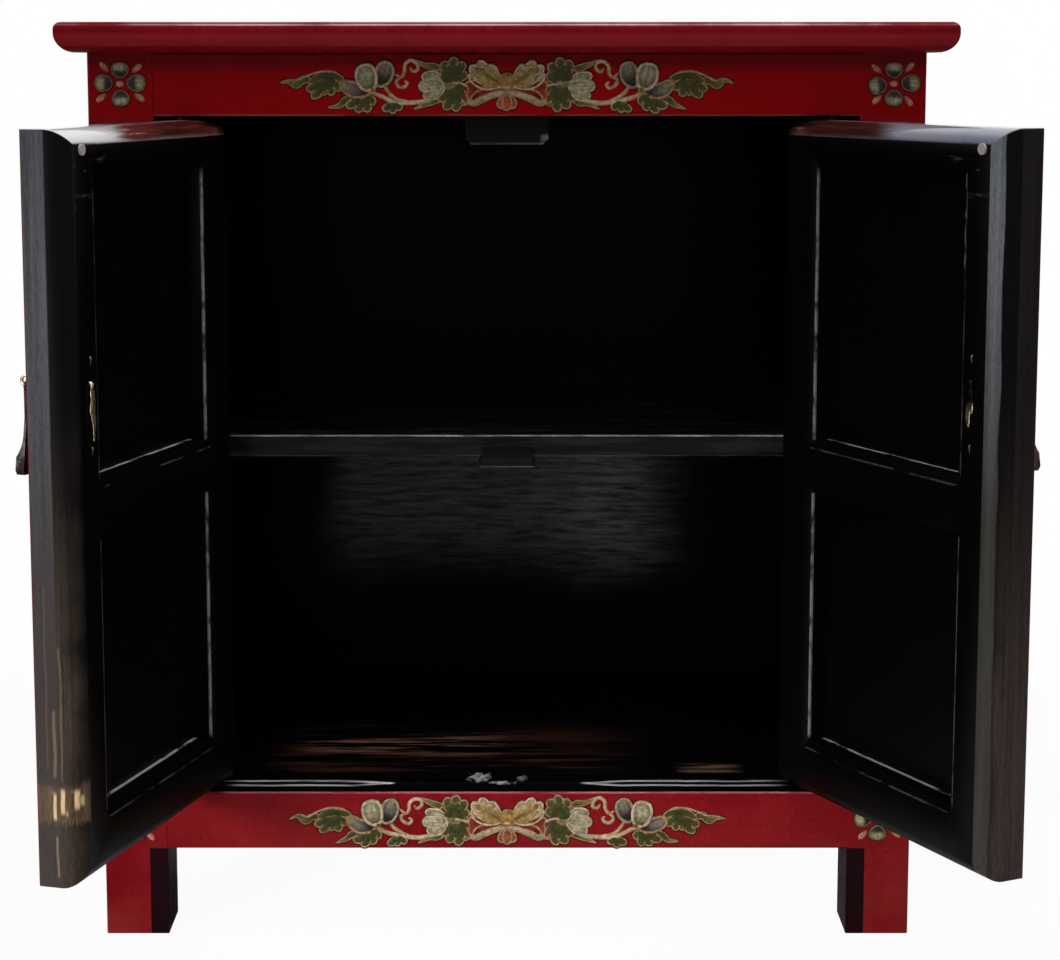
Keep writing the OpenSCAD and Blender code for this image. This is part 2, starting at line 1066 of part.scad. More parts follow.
right_pull();
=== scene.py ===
# %% [markdown]
# # A two-door lacquered nightstand
#
# This lesson dresses a finished joiner's model of a small cabinet. Every board, post and pin already
# stands where it belongs. What is missing is what the eye sees: the softened edges, the red and the
# black lacquer, the painted flowers and the brass. We load the model first, because each later step
# takes its places from it.

# %% Load the joiner's model
import json
import math

import bmesh
import bpy
import numpy as np
from mathutils.bvhtree import BVHTree
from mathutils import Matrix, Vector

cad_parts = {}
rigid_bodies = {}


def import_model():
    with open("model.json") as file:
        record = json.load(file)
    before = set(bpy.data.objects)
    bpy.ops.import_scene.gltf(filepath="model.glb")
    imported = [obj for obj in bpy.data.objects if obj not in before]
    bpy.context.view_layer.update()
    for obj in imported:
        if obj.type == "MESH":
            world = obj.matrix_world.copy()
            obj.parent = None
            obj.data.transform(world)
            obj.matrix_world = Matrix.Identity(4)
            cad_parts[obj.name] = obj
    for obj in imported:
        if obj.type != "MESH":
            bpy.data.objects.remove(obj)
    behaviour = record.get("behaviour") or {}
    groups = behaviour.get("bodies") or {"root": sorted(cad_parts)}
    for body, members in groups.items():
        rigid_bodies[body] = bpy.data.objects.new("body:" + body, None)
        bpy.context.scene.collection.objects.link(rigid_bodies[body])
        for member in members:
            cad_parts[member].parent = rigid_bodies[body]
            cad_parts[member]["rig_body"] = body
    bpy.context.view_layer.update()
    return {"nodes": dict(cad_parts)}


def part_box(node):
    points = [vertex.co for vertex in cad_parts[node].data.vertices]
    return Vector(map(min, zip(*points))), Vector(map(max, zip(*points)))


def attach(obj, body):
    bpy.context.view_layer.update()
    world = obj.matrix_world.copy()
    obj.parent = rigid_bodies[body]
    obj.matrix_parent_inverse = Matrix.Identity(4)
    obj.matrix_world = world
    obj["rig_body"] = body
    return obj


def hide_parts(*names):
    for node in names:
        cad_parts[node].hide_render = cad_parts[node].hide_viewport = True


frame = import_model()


def put(name, data):
    """A new object of the scene that shows data."""
    made = bpy.data.objects.new(name, data)
    bpy.context.scene.collection.objects.link(made)
    return made


# %% [markdown]
# ## The camera
#
# The picture was taken from a little over a metre and a half away, with the lens almost level with the
# top of the cabinet, looking down slightly. We could turn the camera down until the cabinet is in the
# middle, but then its uprights would lean together. A small downward shift of the lens keeps them
# nearly parallel, as in the picture.

# %% The camera
def set_camera(place, dip, lens, shift):
    """Stands at place, looks along +Y and down by dip degrees; shift slides the picture, in widths."""
    eye = bpy.data.cameras.new("camera")
    eye.lens = lens
    eye.shift_x, eye.shift_y = shift
    camera = put("camera", eye)
    camera.location = place
    camera.rotation_euler = (math.radians(90 - dip), 0, 0)
    bpy.context.scene.camera = camera
    return camera


camera = set_camera(place=(0.006, -1.8395, 0.6157), dip=7.735, lens=82.16, shift=(0.0135, -0.085))
bpy.context.scene.view_settings.view_transform = "Standard"
print("camera at", tuple(round(v, 3) for v in camera.location))

# %% [markdown]
# ## Writing shaders as sums
#
# A shader is a web of nodes. Wiring it by hand is slow to read, so we wrap a socket in a small class
# whose plus, minus and times signs add the Math nodes for us. One method makes every other node. After
# this, a finish can be written like a recipe.

# %% Socket arithmetic
class Value:
    """One output socket. Arithmetic on it adds Math nodes to its tree."""

    def __init__(self, recipe, socket):
        self.recipe, self.socket = recipe, socket

    def _sum(self, operation, first, second):
        return self.recipe.node("Math", {"operation": operation}, {0: first, 1: second})

    def __add__(self, other):
        return self._sum("ADD", self, other)

    def __sub__(self, other):
        return self._sum("SUBTRACT", self, other)

    def __rsub__(self, other):
        return self._sum("SUBTRACT", other, self)

    def __mul__(self, other):
        return self._sum("MULTIPLY", self, other)

    def __pow__(self, other):
        return self._sum("POWER", self, other)

    __radd__, __rmul__ = __add__, __mul__


class Recipe:
    """The node tree of a material or of the world, emptied and ready to be written."""

    def __init__(self, owner):
        owner.use_nodes = True
        self.tree = owner.node_tree
        self.tree.nodes.clear()

    def node(self, kind, settings=None, sockets=None, out=0):
        """Adds a shader node of a kind, sets its settings, then fills its sockets."""
        made = self.tree.nodes.new("ShaderNode" + kind)
        for name, setting in (settings or {}).items():
            setattr(made, name, setting)
        for name, filling in (sockets or {}).items():
            if isinstance(filling, Value):
                self.tree.links.new(filling.socket, made.inputs[name])
            else:
                made.inputs[name].default_value = filling
        return Value(self, made.outputs[out]) if len(made.outputs) else made

    def mix(self, share, first, second):
        """Colour that goes from first to second as share goes from 0 to 1."""
        return self.node("Mix", {"data_type": "RGBA"}, {0: share, 6: first, 7: second}, out=2)

    def over(self, ground, *layers):
        """Layers of paint over a ground: each is the share that it covers, and its colour."""
        for share, colour in layers:
            ground = self.mix(share, ground, colour)
        return ground

    def step(self, value, low, high):
        """0 below low, 1 above high, and a smooth step between; low may be the larger."""
        return self.node("MapRange", {"interpolation_type": "SMOOTHSTEP"},
                         {"Value": value, "From Min": low, "From Max": high})

    def band(self, value, start, full, last, end):
        """0 up to start, 1 from full to last, and 0 again from end."""
        return self.step(value, start, full) * self.step(value, end, last)

    def either(self, first, second):
        """1 where one of two masks is 1: their sum less their product."""
        return first + second - first * second

    def noise(self, where, scale, detail=3.0, rough=0.5):
        return self.node("TexNoise", {}, {"Vector": where, "Scale": scale, "Detail": detail,
                                          "Roughness": rough})

    def grain(self, where, scales, detail=3.0, rough=0.5):
        """Noise drawn out into streaks; scales is how fast it changes along x, y and z."""
        return self.noise(self.node("Mapping", {}, {"Vector": where, "Scale": scales}), 1.0, detail, rough)

    def bump(self, strength, distance, height):
        return self.node("Bump", {}, {"Strength": strength, "Distance": distance, "Height": height})

    def place(self):
        return self.node("TexCoord", out="Object")

    def along(self, where, direction, start=0.0):
        """Distance of a place along a direction, from start."""
        return self.node("VectorMath", {"operation": "DOT_PRODUCT"},
                         {0: where, 1: direction}, out="Value") - start

    def axes(self, where):
        """The three coordinates of a place."""
        return [self.node("SeparateXYZ", {}, {0: where}, out=i) for i in range(3)]

    def point(self, x, y, z):
        return self.node("CombineXYZ", {}, {0: x, 1: y, 2: z})


def tone(red, green, blue):
    """A colour read off a colour card, 0 to 255 in each part, as the linear light that Blender uses."""
    card = np.array([red, green, blue]) / 255
    light = np.where(card <= 0.04045, card / 12.92, ((card + 0.055) / 1.055) ** 2.4)
    return (*light.tolist(), 1.0)


print("mid grey", [round(v, 3) for v in tone(118, 118, 118)])

# %% [markdown]
# ## Room and light
#
# The cabinet stands in a white studio: one soft lamp overhead, a weaker one in front on the left,
# and white all round. What the camera and the lacquer see of the room is plain white. What
# lights the cabinet is weaker, so that the colours come out as they are mixed. The floor turns white
# with distance, and keeps the shadow near the feet.

# %% The white room
def light_room(level):
    """White for the camera and for reflections; level is the strength that lights everything else."""
    world = bpy.data.worlds.new("studio")
    bpy.context.scene.world = world
    sky = Recipe(world)
    rays = sky.node("LightPath", out="Is Camera Ray")
    seen = rays + Value(sky, rays.socket.node.outputs["Is Glossy Ray"]) \
        + Value(sky, rays.socket.node.outputs["Is Transmission Ray"])
    soft = sky.node("Background", {}, {"Color": (1, 1, 1, 1), "Strength": level})
    white = sky.node("Background", {}, {"Color": (1, 1, 1, 1), "Strength": 1.0})
    both = sky.node("MixShader", {}, {0: seen, 1: soft, 2: white})
    sky.node("OutputWorld", {}, {"Surface": both})
    return world


def add_lamp(name, place, target, size, power, spread=180.0):
    """A soft box at place that faces target; a small spread, in degrees, keeps its light in a beam."""
    lamp = bpy.data.lights.new(name, "AREA")
    lamp.shape, lamp.size, lamp.size_y = "RECTANGLE", *size
    lamp.energy, lamp.spread = power, math.radians(spread)
    holder = put(name, lamp)
    holder.location = place
    gaze = np.array(target, float) - np.array(place, float)
    holder.rotation_euler = (math.atan2(math.hypot(gaze[0], gaze[1]), -gaze[2]), 0,
                             math.atan2(-gaze[0], gaze[1]))
    return holder


light_room(0.2)
add_lamp("overhead_soft_box", (0.2, -0.8, 2.5), (0, -0.35, 0), (1.7, 0.9), 40)
add_lamp("left_soft_box", (-1.6, -2.4, 0.5), (0, -0.1, -0.15), (0.9, 0.5), 2.2, 30)

# %% The floor
def lay_floor(half):
    """A square floor whose material fades to plain white away from the cabinet."""
    mesh = bpy.data.meshes.new("floor")
    mesh.from_pydata([(-half, -half, 0), (half, -half, 0), (half, half, 0), (-half, half, 0)],
                     [], [(0, 1, 2, 3)])
    floor = put("floor", mesh)
    material = bpy.data.materials.new("pale_floor")
    paint = Recipe(material)
    reach = paint.node("VectorMath", {"operation": "LENGTH"}, {0: paint.place()}, out="Value")
    rays = paint.node("LightPath", out="Is Camera Ray")
    far = paint.step(reach, 0.45, 1.4)
    matt = paint.node("BsdfDiffuse", {}, {"Color": (0.8, 0.8, 0.8, 1)})
    white = paint.node("Emission", {}, {"Color": (1, 1, 1, 1), "Strength": 1.0})
    share = rays * (far * 0.04 + 0.96)
    both = paint.node("MixShader", {}, {0: share, 1: matt, 2: white})
    paint.node("OutputMaterial", {}, {"Surface": both})
    mesh.materials.append(material)
    return floor


lay_floor(20.0)

# %% [markdown]
# ## Where the open doors lie
#
# The doors stand open at two angles, so their own directions are not those of the room. Streaks of
# wear, nails and brass all belong to the door. We work out, once, a point on the pin of each door and
# the two directions along the door and through it.

# %% Directions of the doors
LEFT, RIGHT = -1, 1
OPENED = {LEFT: 106.5, RIGHT: 116.1}     # degrees from closed
PIN = (0.2223, -0.1785)                  # the pintle's axis, mirrored for the left door
PIN_IN = (0.0167, 0.0055)                # the same axis, from the door's hinge edge and outer face
DOOR = {"width": 0.2382, "thick": 0.031, "foot": 0.1069, "height": 0.4691}
SIDE_NAME = {LEFT: "left", RIGHT: "right"}


def door_frame(side):
    """Point on the hinge edge's outer face, direction along the door, direction through it."""
    turn = -math.radians(OPENED[side])
    along = np.array([-side * math.cos(turn), math.sin(turn), 0.0])
    through = np.array([side * math.sin(turn), math.cos(turn), 0.0])
    start = np.array([side * PIN[0], PIN[1], 0.0]) - along * PIN_IN[0] - through * PIN_IN[1]
    return start, along, through


for side in (LEFT, RIGHT):
    print("door", side, "runs along", door_frame(side)[1].round(3))

# %% [markdown]
# ## The finishes
#
# **Red lacquer** is many thin coats over wood. It is deep and even, a little cloudy, and its surface
# has the faint waviness of a brushed varnish. We mix two near reds with slow noise, darken it in
# specks, and give it a very shallow bump. Its gloss is set low, because a white room would otherwise
# lay a pink haze over it.
#
# ** Black lacquer** covers everything behind the front rails, also on members that are red outside, so
# the red recipe asks where it is and turns black inside a box. Both carry the same painted highlights
# along the sill, pale lines and spots that stand in for reflections. A mask such as a band of heights
# says where each tint lies.

# %% Lacquers for the case
GLOSS_RED = 0.05      # how strongly the red lacquer mirrors the white room, straight on
GLOSS_DARK = 0.03     # the same for the black inside the case
# the colour of the painted highlights along the sill
SILL_HIGHLIGHT_TONE = tone(196, 194, 194)
# the space behind the front rails, and the opening between them: lowest and highest x, y and z
HOLLOW = ((-0.2685, 0.2685), (-0.1635, 0.1695), (0.09, 0.6285))
MOUTH = ((-0.2412, 0.2412), (-0.1828, 0.0), (0.1036, 0.5794))
# heights between which a tint fades in and out again: painted shade, light and highlights
RAIL = (0.5775, 0.5785, 0.6205, 0.6215)          # the top rail's front
ROLL = (0.625, 0.627, 0.632, 0.6355)             # the round edge of the board on top
LOW_ARRIS = (0.577, 0.5785, 0.5796, 0.5803)      # lower edge of the top rail
HIGH_ARRIS = (0.1028, 0.1033, 0.105, 0.106)      # upper edge of the bottom rail
SHELF_TOP = (0.3456, 0.3462, 0.3472, 0.3476)     # the two arrises of the shelf
SHELF_FOOT = (0.3306, 0.3309, 0.3317, 0.3322)


def finish(name, make):
    """A new material whose Principled sockets are what make(recipe) returns."""
    material = bpy.data.materials.new(name)
    paint = Recipe(material)
    shader = paint.node("BsdfPrincipled", {}, make(paint))
    paint.node("OutputMaterial", {}, {"Surface": shader})
    return material


def within(paint, axes, limits, soft=0.0004):
    """1 inside a box and 0 outside it; limits are the lowest and highest x, y and z."""
    inside = 1.0
    for value, (low, high) in zip(axes, limits):
        inside = paint.band(value, low - soft, low + soft, high - soft, high + soft) * inside
    return inside


HIGHLIGHT_LINES_AT = 0.163               # how far the painted highlight lines lie before the middle of the case
SPREAD = 0.0052                 # most of h, half the distance between the two lines of a pair
LINE = (0.0026 ** 2, 0.0012 ** 2)      # squared distance from a line where it fades out and is full
# painted highlight spots on the sill: middle across and in depth, half length and half width, and how pale
HIGHLIGHT_SPOTS = ((-0.02, -0.149, 0.0078, 0.0105, 0.7), (-0.0035, -0.162, 0.0082, 0.0042, 0.8),
           (0.0105, -0.151, 0.0038, 0.0075, 0.3))


def sill_painted_highlights(paint, x, y):
    """Painted highlights along the sill, pale lines and spots that stand in for reflections: a pair of
    lines on each side and spots between the pairs.

    The two lines of a pair lie at a distance h from their middle line, and h grows from nothing at
    the pair's inner end, so the lines meet there. A spot is an ellipse,
    ((x - x0) / a)**2 + ((y - y0) / b)**2 < 1, whose rim is broken by noise."""
    step = paint.step
    sill = paint.point(x, y, 0.0)
    wave = paint.grain(sill, (22, 0, 0), rough=0.6) - 0.5
    off = y + wave * 0.005 + HIGHLIGHT_LINES_AT
    h = (step(x, 0.052, 0.085) + step(x, -0.08, -0.112)) * SPREAD
    lines = step((off - h) ** 2, *LINE) + step((off + h) ** 2, *LINE)
    there = (step(x, 0.051, 0.058) + step(x, -0.079, -0.086)) * step(x * x, 0.207 ** 2, 0.18 ** 2)
    broken = paint.grain(sill, (16, 300, 0), rough=0.6)
    blot = (paint.noise(paint.point(x * 260, y * 170, 3.0), 1.0, 4.0, 0.65) - 0.5) * 6.0
    highlight_marks = lines * there * (step(broken, 0.34, 0.58) * 0.8 + 0.1)
    for middle_x, middle_y, half_x, half_y, pale in HIGHLIGHT_SPOTS:
        far = (x * (1 / half_x) - middle_x / half_x) ** 2 + (y * (1 / half_y) - middle_y / half_y) ** 2
        highlight_marks = highlight_marks + step(far + blot, 1.3, -0.3) * pale
    return highlight_marks


def red_sockets(paint):
    """Red lacquer outside the case, and the black that reaches round its inner edges."""
    step, band = paint.step, paint.band
    where = paint.place()
    x, y, z = paint.axes(where)
    cloud = paint.noise(where, 9.0, 4.0, 0.6)
    fleck = paint.noise(where, 240.0, 4.0, 0.7)
    speck = step(paint.noise(where, 420.0, 1.0), 0.68, 0.78)
    brush = paint.grain(where, (14, 60, 220), 2.0)
    dust = step(z, 0.12, 0.0) * step(cloud, 0.35, 0.65)
    # painted shade and light: the top rail's front is a purer red, darkest just under the board that shades
    # it and brighter lower down; the board's roll is paler, painted light from below
    face = step(y, -0.1825, -0.1835)
    rail_painted_light_and_shade = paint.over(tone(100, 0, 4), (step(z, 0.616, 0.606), tone(150, 0, 6)),
                      (step(z, 0.6, 0.582) * 0.8, tone(132, 0, 6)))
    between = step(x * x, 0.2412 ** 2, 0.2404 ** 2)      # between the posts
    # painted highlights along the lower edge of the top rail and the upper edge of the bottom rail
    arris_painted_highlight = face * between * (band(z, *LOW_ARRIS) * 0.4 + band(z, *HIGH_ARRIS) * 0.7)
    red = paint.over(tone(112, 8, 18),
                     (step(cloud, 0.3, 0.7), tone(134, 20, 28)),
                     (step(fleck, 0.35, 0.7) * 0.5, tone(100, 10, 16)),
                     (step(brush, 0.45, 0.75) * 0.3, tone(92, 4, 12)),
                     (speck * 0.22, tone(160, 84, 80)),
                     (dust * 0.35, tone(128, 52, 44)),
                     (face * band(z, *RAIL) * 0.9, rail_painted_light_and_shade),
                     (band(z, *ROLL) * 0.8, tone(154, 34, 40)),
                     (arris_painted_highlight * step(brush, 0.3, 0.5), tone(176, 104, 108)))
    # painted shade: the inner faces of the feet are a dark red, as in shadow; over the black inside lie the
    # painted highlights along the sill
    legs = step(z, 0.0634, 0.0628) * step(x * x, 0.06425, 0.0641)      # the inner faces of the feet
    dark = paint.over(tone(4, 4, 4), (sill_painted_highlights(paint, x, y) * step(z, 0.13, 0.11), SILL_HIGHLIGHT_TONE),
                      (legs, tone(26, 6, 10)))
    inside = paint.either(within(paint, (x, y, z), HOLLOW), within(paint, (x, y, z), MOUTH))
    ripple = paint.noise(where, 60.0, 2.0) * 0.7 + paint.noise(where, 900.0, 1.0) * 0.3
    return {
        "Base Color": paint.mix(paint.either(inside, legs), red, dark),
        "Roughness": cloud * 0.14 + 0.2,
        "Specular IOR Level": GLOSS_RED,
        "Coat Weight": step(z, 0.6385, 0.6402) * step(y, -0.19, -0.195) * step(cloud, 0.35, 0.6),
        "Coat Roughness": 0.1,
        "Normal": paint.bump(0.12, 0.0006, ripple),
    }


def shelf_sockets(paint):
    """Black lacquer of the shelf and the stops, glossier than the rest of the inside."""
    step, band = paint.step, paint.band
    where = paint.place()
    x, y, z = paint.axes(where)
    wear = paint.grain(where, (12, 60, 160), 4.0, 0.6)
    breaks = paint.grain(where, (26, 1, 300))
    front = step(y, -0.1025, -0.1035)
    # painted highlights along the shelf's two front arrises
    lines = band(z, *SHELF_TOP) * step(x * x, 0.056, 0.05) + band(z, *SHELF_FOOT) * 0.25
    tongue = step(y, -0.1045, -0.1052) * step(z, 0.4, 0.39)      # the stop before the shelf
    block = step(z, 0.5, 0.51)                                   # the stop under the top
    corner = step(x, 0.022, 0.026) * step(z, 0.5665, 0.5635)
    # painted highlight on the lower edge of the stop under the top, and on one corner
    stop_painted_highlight = block * (step(z, 0.5605, 0.5592) * 0.25 + corner * 0.6) * step(wear, 0.4, 0.55)
    return {
        "Base Color": paint.over(tone(8, 8, 9), (step(wear, 0.4, 0.7), tone(34, 33, 33)),
                                 (tongue, tone(3, 3, 3)), (block, tone(7, 7, 7)),
                                 (stop_painted_highlight, tone(150, 148, 146)),
                                 (front * lines * (step(breaks, 0.36, 0.56) * 0.6 + 0.12),
                                  tone(190, 188, 184))),
        "Roughness": wear * 0.25 + (tongue + block) * 0.5 + 0.14,
        "Specular IOR Level": 0.14,
        "Normal": paint.bump(0.25, 0.0005, wear),
    }


def dark_sockets(paint):
    """Black lacquer inside the case: brown where it is thin, with the grain of the boards in it."""
    step, band = paint.step, paint.band
    where = paint.place()
    x, y, z = paint.axes(where)
    grain = paint.grain(where, (26, 30, 230), 4.0, 0.7)
    streaks = paint.grain(where, (7, 75, 5), 4.0, 0.65)
    cloud = paint.noise(where, 6.0, 4.0, 0.6)
    fade, blur = (cloud - 0.5) * 0.08, (cloud - 0.5) * 0.09
    low = step(z, 0.112, 0.1045)                         # the floor board's face
    thin = low * step(y + fade, 0.015, -0.04) * step(y, -0.14, -0.13) \
        * band(x + fade, -0.19, -0.14, 0.02, 0.12)
    heart = thin * band(x + fade, -0.17, -0.13, -0.04, 0.0) * band(y + fade * 0.3, -0.1, -0.08, -0.055, -0.03)
    spot = low * band(x, 0.12, 0.135, 0.155, 0.175) * band(y, -0.14, -0.132, -0.116, -0.108)
    # painted reflection: the front of the back panel is grey low down in its middle, with grain in it
    wear_and_painted_reflection = band(y, 0.16, 0.165, 0.1662, 0.1668) * band(x + blur, -0.165, -0.13, 0.08, 0.165) \
        * step(z + blur, 0.17, 0.235) * step(z, 0.345, 0.32)
    return {
        "Base Color": paint.over(tone(3, 3, 3),
                                 (wear_and_painted_reflection * (step(grain, 0.3, 0.7) * 0.85 + 0.15), tone(112, 112, 113)),
                                 (thin * step(streaks, 0.45, 0.6), tone(54, 31, 26)),
                                 (heart * step(streaks, 0.5, 0.62), tone(124, 87, 76)),
                                 (spot * step(streaks, 0.46, 0.58), tone(104, 78, 70)),
                                 # painted highlights along the sill, on the floor board's face
                                 (low * sill_painted_highlights(paint, x, y), SILL_HIGHLIGHT_TONE)),
        "Roughness": cloud * 0.2 + 0.16,
        "Specular IOR Level": GLOSS_DARK,
        "Normal": paint.bump(0.2, 0.0004, grain),
    }


RED = finish("red_lacquer", red_sockets)
DARK = finish("black_lacquer_inside", dark_sockets)
SHELF = finish("black_lacquer_shelf", shelf_sockets)
print("finishes so far:", RED.name, DARK.name, SHELF.name)

# %% [markdown]
# ** The doors** are black on their inner faces and edges and red outside. The black is worn: the edge
# that is handled shows brown and red streaks that run with the grain, and near the foot of the left
# door it is rubbed through to pale wood. The grey on the flat of the free edges and the near-white on
# the level tops are painted reflections, and the pale lines along ledges and arrises are painted
# highlights. The streaks must follow the door, so the recipe measures each place along and through
# the door before it asks the noise for a value.

# %% Lacquer for the doors
# painted reflection of the white room on the flat of each free edge, lighter on the left door
EDGE_PAINTED_REFLECTION = {LEFT: (100, 100, 106), RIGHT: (34, 29, 29)}
BROWN = {LEFT: (72, 61, 53), RIGHT: (75, 64, 58)}
BROWN_FULL = {LEFT: 0.22, RIGHT: 0.14}     # height below which the free edge is all brown
# painted reflection on the level tops of the doors, and its tint at the free end
TOP_PAINTED_REFLECTION = {LEFT: (207, 205, 211), RIGHT: (146, 146, 158)}
FREE_END_PAINTED_REFLECTION = {LEFT: (252, 252, 254), RIGHT: (124, 129, 150)}       # the same at the free end
TOP_WORN = {LEFT: (78, 26, 21), RIGHT: (58, 21, 18)}
BROWN_FROM = {LEFT: 0.15, RIGHT: 0.1}      # nearer the hinge than this, its top is rubbed brown
LEDGES = (0.1474, 0.3585)                  # heights of the faces under the two panels
# lowest and highest place of the pale dashes on the right door's free stile
PALE_DASHES = ((0.538, 0.549), (0.52, 0.526), (0.503, 0.517), (0.489, 0.5))
# worn strokes: distance through the door, half width, lowest and highest place (mm), and how pale;
# first on the left door's free edge, from the patch near its foot upwards, then down to the foot
FLECKS = ((12.6, 1.1, 149, 169, 1.0), (11.4, 1.7, 166, 170, 0.5), (18.0, 1.4, 153, 172, 1.0),
          (20.6, 0.7, 152, 158, 0.7), (26.0, 1.3, 156, 171.5, 0.9), (28.4, 0.9, 158, 168, 0.6),
          (23.6, 0.8, 167, 171.5, 0.4), (13.4, 0.8, 112, 142, 0.22), (12.9, 1.1, 176, 222, 0.16),
          (17.6, 0.7, 174, 262, 0.1), (8.0, 0.6, 180, 300, 0.06))


def door_sockets(side, paint):
    """The recipe of one door. In it s is the distance along the door, and q the one through it."""
    start, along, through = door_frame(side)
    free, thick, foot = DOOR["width"], DOOR["thick"], DOOR["foot"]
    head = foot + DOOR["height"]
    step, band = paint.step, paint.band
    where = paint.place()
    s, q = (paint.along(where, way, float(start @ way)) for way in (along, through))
    z = paint.axes(where)[2]
    up = paint.axes(paint.node("TexCoord", out="Normal"))[2]
    door = paint.point(s, q, z)
    upright = paint.grain(door, (160, 260, 5), 4.0, 0.6)
    fine = paint.grain(door, (900, 900, 160), 3.0, 0.7)
    level = paint.grain(door, (9, 90, 90), 4.0, 0.65)
    broken = paint.grain(door, (55, 150, 55), 4.0, 0.65)
    wear_and_painted_reflection = paint.grain(door, (45, 0, 240), 4.0, 0.7)
    slow = paint.grain(door, (0, 30, 22), 2.0) - 0.5
    cloud = paint.noise(where, 14.0, 4.0, 0.6)
    streak = step(upright * 0.6 + fine * 0.4, 0.36, 0.62)
    # the free edge: a grey painted reflection where it is flat, brighter higher up; brown lower down, at the
    # foot most of all
    edge = step(s, free - 0.0119, free - 0.011) * step(up, 0.5, 0.3)
    flat, arc = edge * step(q, 0.0164, 0.0152), edge * step(q, 0.0152, 0.0164)
    brown = edge * step(z, 0.44, BROWN_FULL[side]) * step(q + slow * 0.02, 0.034, 0.02)
    coat = paint.over(tone(3, 3, 3),
                      (flat * (streak * 0.5 + 0.5) * (step(z, 0.3, 0.5) * 0.4 + 0.6),
                       tone(*EDGE_PAINTED_REFLECTION[side])),
                      (arc * (streak * 0.6 + 0.1), tone(8, 8, 9)),
                      (brown * (streak * 0.5 + 0.35), tone(*BROWN[side])))
    if side == LEFT:
        height = z + slow * 0.02 + (fine - 0.5) * 0.012
        patch = edge * band(height, 0.147, 0.153, 0.17, 0.176)
        # lower down, the flat of the left edge is darkened, dimming its painted reflection; near the foot it
        # is rubbed through to pale wood
        coat = paint.over(coat, (flat * step(z, 0.4, 0.22) * 0.4, tone(38, 33, 30)),
                          (patch * (streak * 0.7 + 0.1), tone(104, 84, 62)))
        for middle, half, low, high, pale in FLECKS:
            off = q + slow * 0.0035 - middle / 1000
            line = edge * step(off * off, (half / 1000) ** 2 * 1.6, (half / 2200) ** 2) \
                * band(z, low / 1000, low / 1000 + 0.004, high / 1000 - 0.004, high / 1000)
            coat = paint.mix(line * pale * (fine * 0.8 + 0.5), coat, tone(216, 182, 142))
    else:
        # painted reflection: a grey band along the round of the right door's free edge, brighter higher up
        round_painted_reflection = edge * step(q + slow * 0.003, 0.0252, 0.0259)
        grey = paint.mix(step(z, 0.32, 0.52), tone(64, 62, 58), tone(128, 131, 138))
        coat = paint.mix(round_painted_reflection * (streak * 0.45 + 0.5), coat, grey)
    # the top: mirror-smooth lacquer on its level part with a near-white painted reflection, rubbed brown near
    # the hinge
    crown = band(z, head - 0.02, head - 0.012, head + 0.0005, head + 0.001) * step(up, 0.25, 0.55)
    limit = BROWN_FROM[side]
    near = step(s + (level - 0.5) * 0.1 - q * 1.2, limit, limit - 0.04)
    worn_top = crown * near
    level_top_painted_reflection = paint.mix(step(s, 0.13, 0.21), tone(*TOP_PAINTED_REFLECTION[side]), tone(*FREE_END_PAINTED_REFLECTION[side]))
    # painted highlights: pale broken lines along both sides of the ledges under the panels, and down the
    # upright arrises
    below = step(z, head - 0.03, head - 0.04)
    ledge = step(up, 0.3, 0.45) * step(q, 0.0125, 0.0135) * below
    sides = step(q, 0.0176, 0.0156) + step(q, 0.0293, 0.0299) * step(cloud, 0.42, 0.55) * 0.8
    middle_rail = band(z, LEDGES[1] - 0.037, LEDGES[1] - 0.036, LEDGES[1], LEDGES[1] + 0.001)
    fields = below * step(z, LEDGES[0], LEDGES[0] + 0.004) * (1.0 - middle_rail)
    # painted highlights down the upright arrises of the fields
    lines = step((s - 0.0335) ** 2, 0.0013 ** 2, 0.0006 ** 2) * step(q, 0.0254, 0.0262) \
        + step((s - free + 0.034) ** 2, 0.001 ** 2, 0.0004 ** 2) * step(q, 0.0298, 0.0304) * 0.4
    coat = paint.over(coat, (crown * (level * 0.4 + 0.5), level_top_painted_reflection), (worn_top, tone(30, 10, 9)),
                      (worn_top * step(level, 0.4, 0.55), tone(*TOP_WORN[side])),
                      (worn_top * step(level, 0.56, 0.64) * step(fine, 0.35, 0.6), tone(170, 132, 118)),
                      (ledge * sides * step(broken, 0.38, 0.54), tone(168, 164, 162)),
                      (lines * fields * (step(broken, 0.36, 0.56) * 0.8 + 0.1), tone(132, 126, 122)))
    if side == RIGHT:
        off = s - free + 0.0365 + slow * 0.006
        dash_line = step(off ** 2, 0.0016 ** 2, 0.0008 ** 2) * step(q, 0.0265, 0.0275)
        for low, high in PALE_DASHES:
            dash = dash_line * band(z, low, low + 0.002, high - 0.003, high)
            coat = paint.mix(dash * (fine * 0.5 + 0.4), coat, tone(168, 162, 166))
    scuff = step(q, thick - 0.001, thick) * step(s, 0.13, 0.2) \
        * band(z, head - 0.06, head - 0.03, head - 0.02, head - 0.014)
    coat = paint.mix(scuff * step(wear_and_painted_reflection, 0.55, 0.7) * 0.4, coat, tone(110, 94, 92))
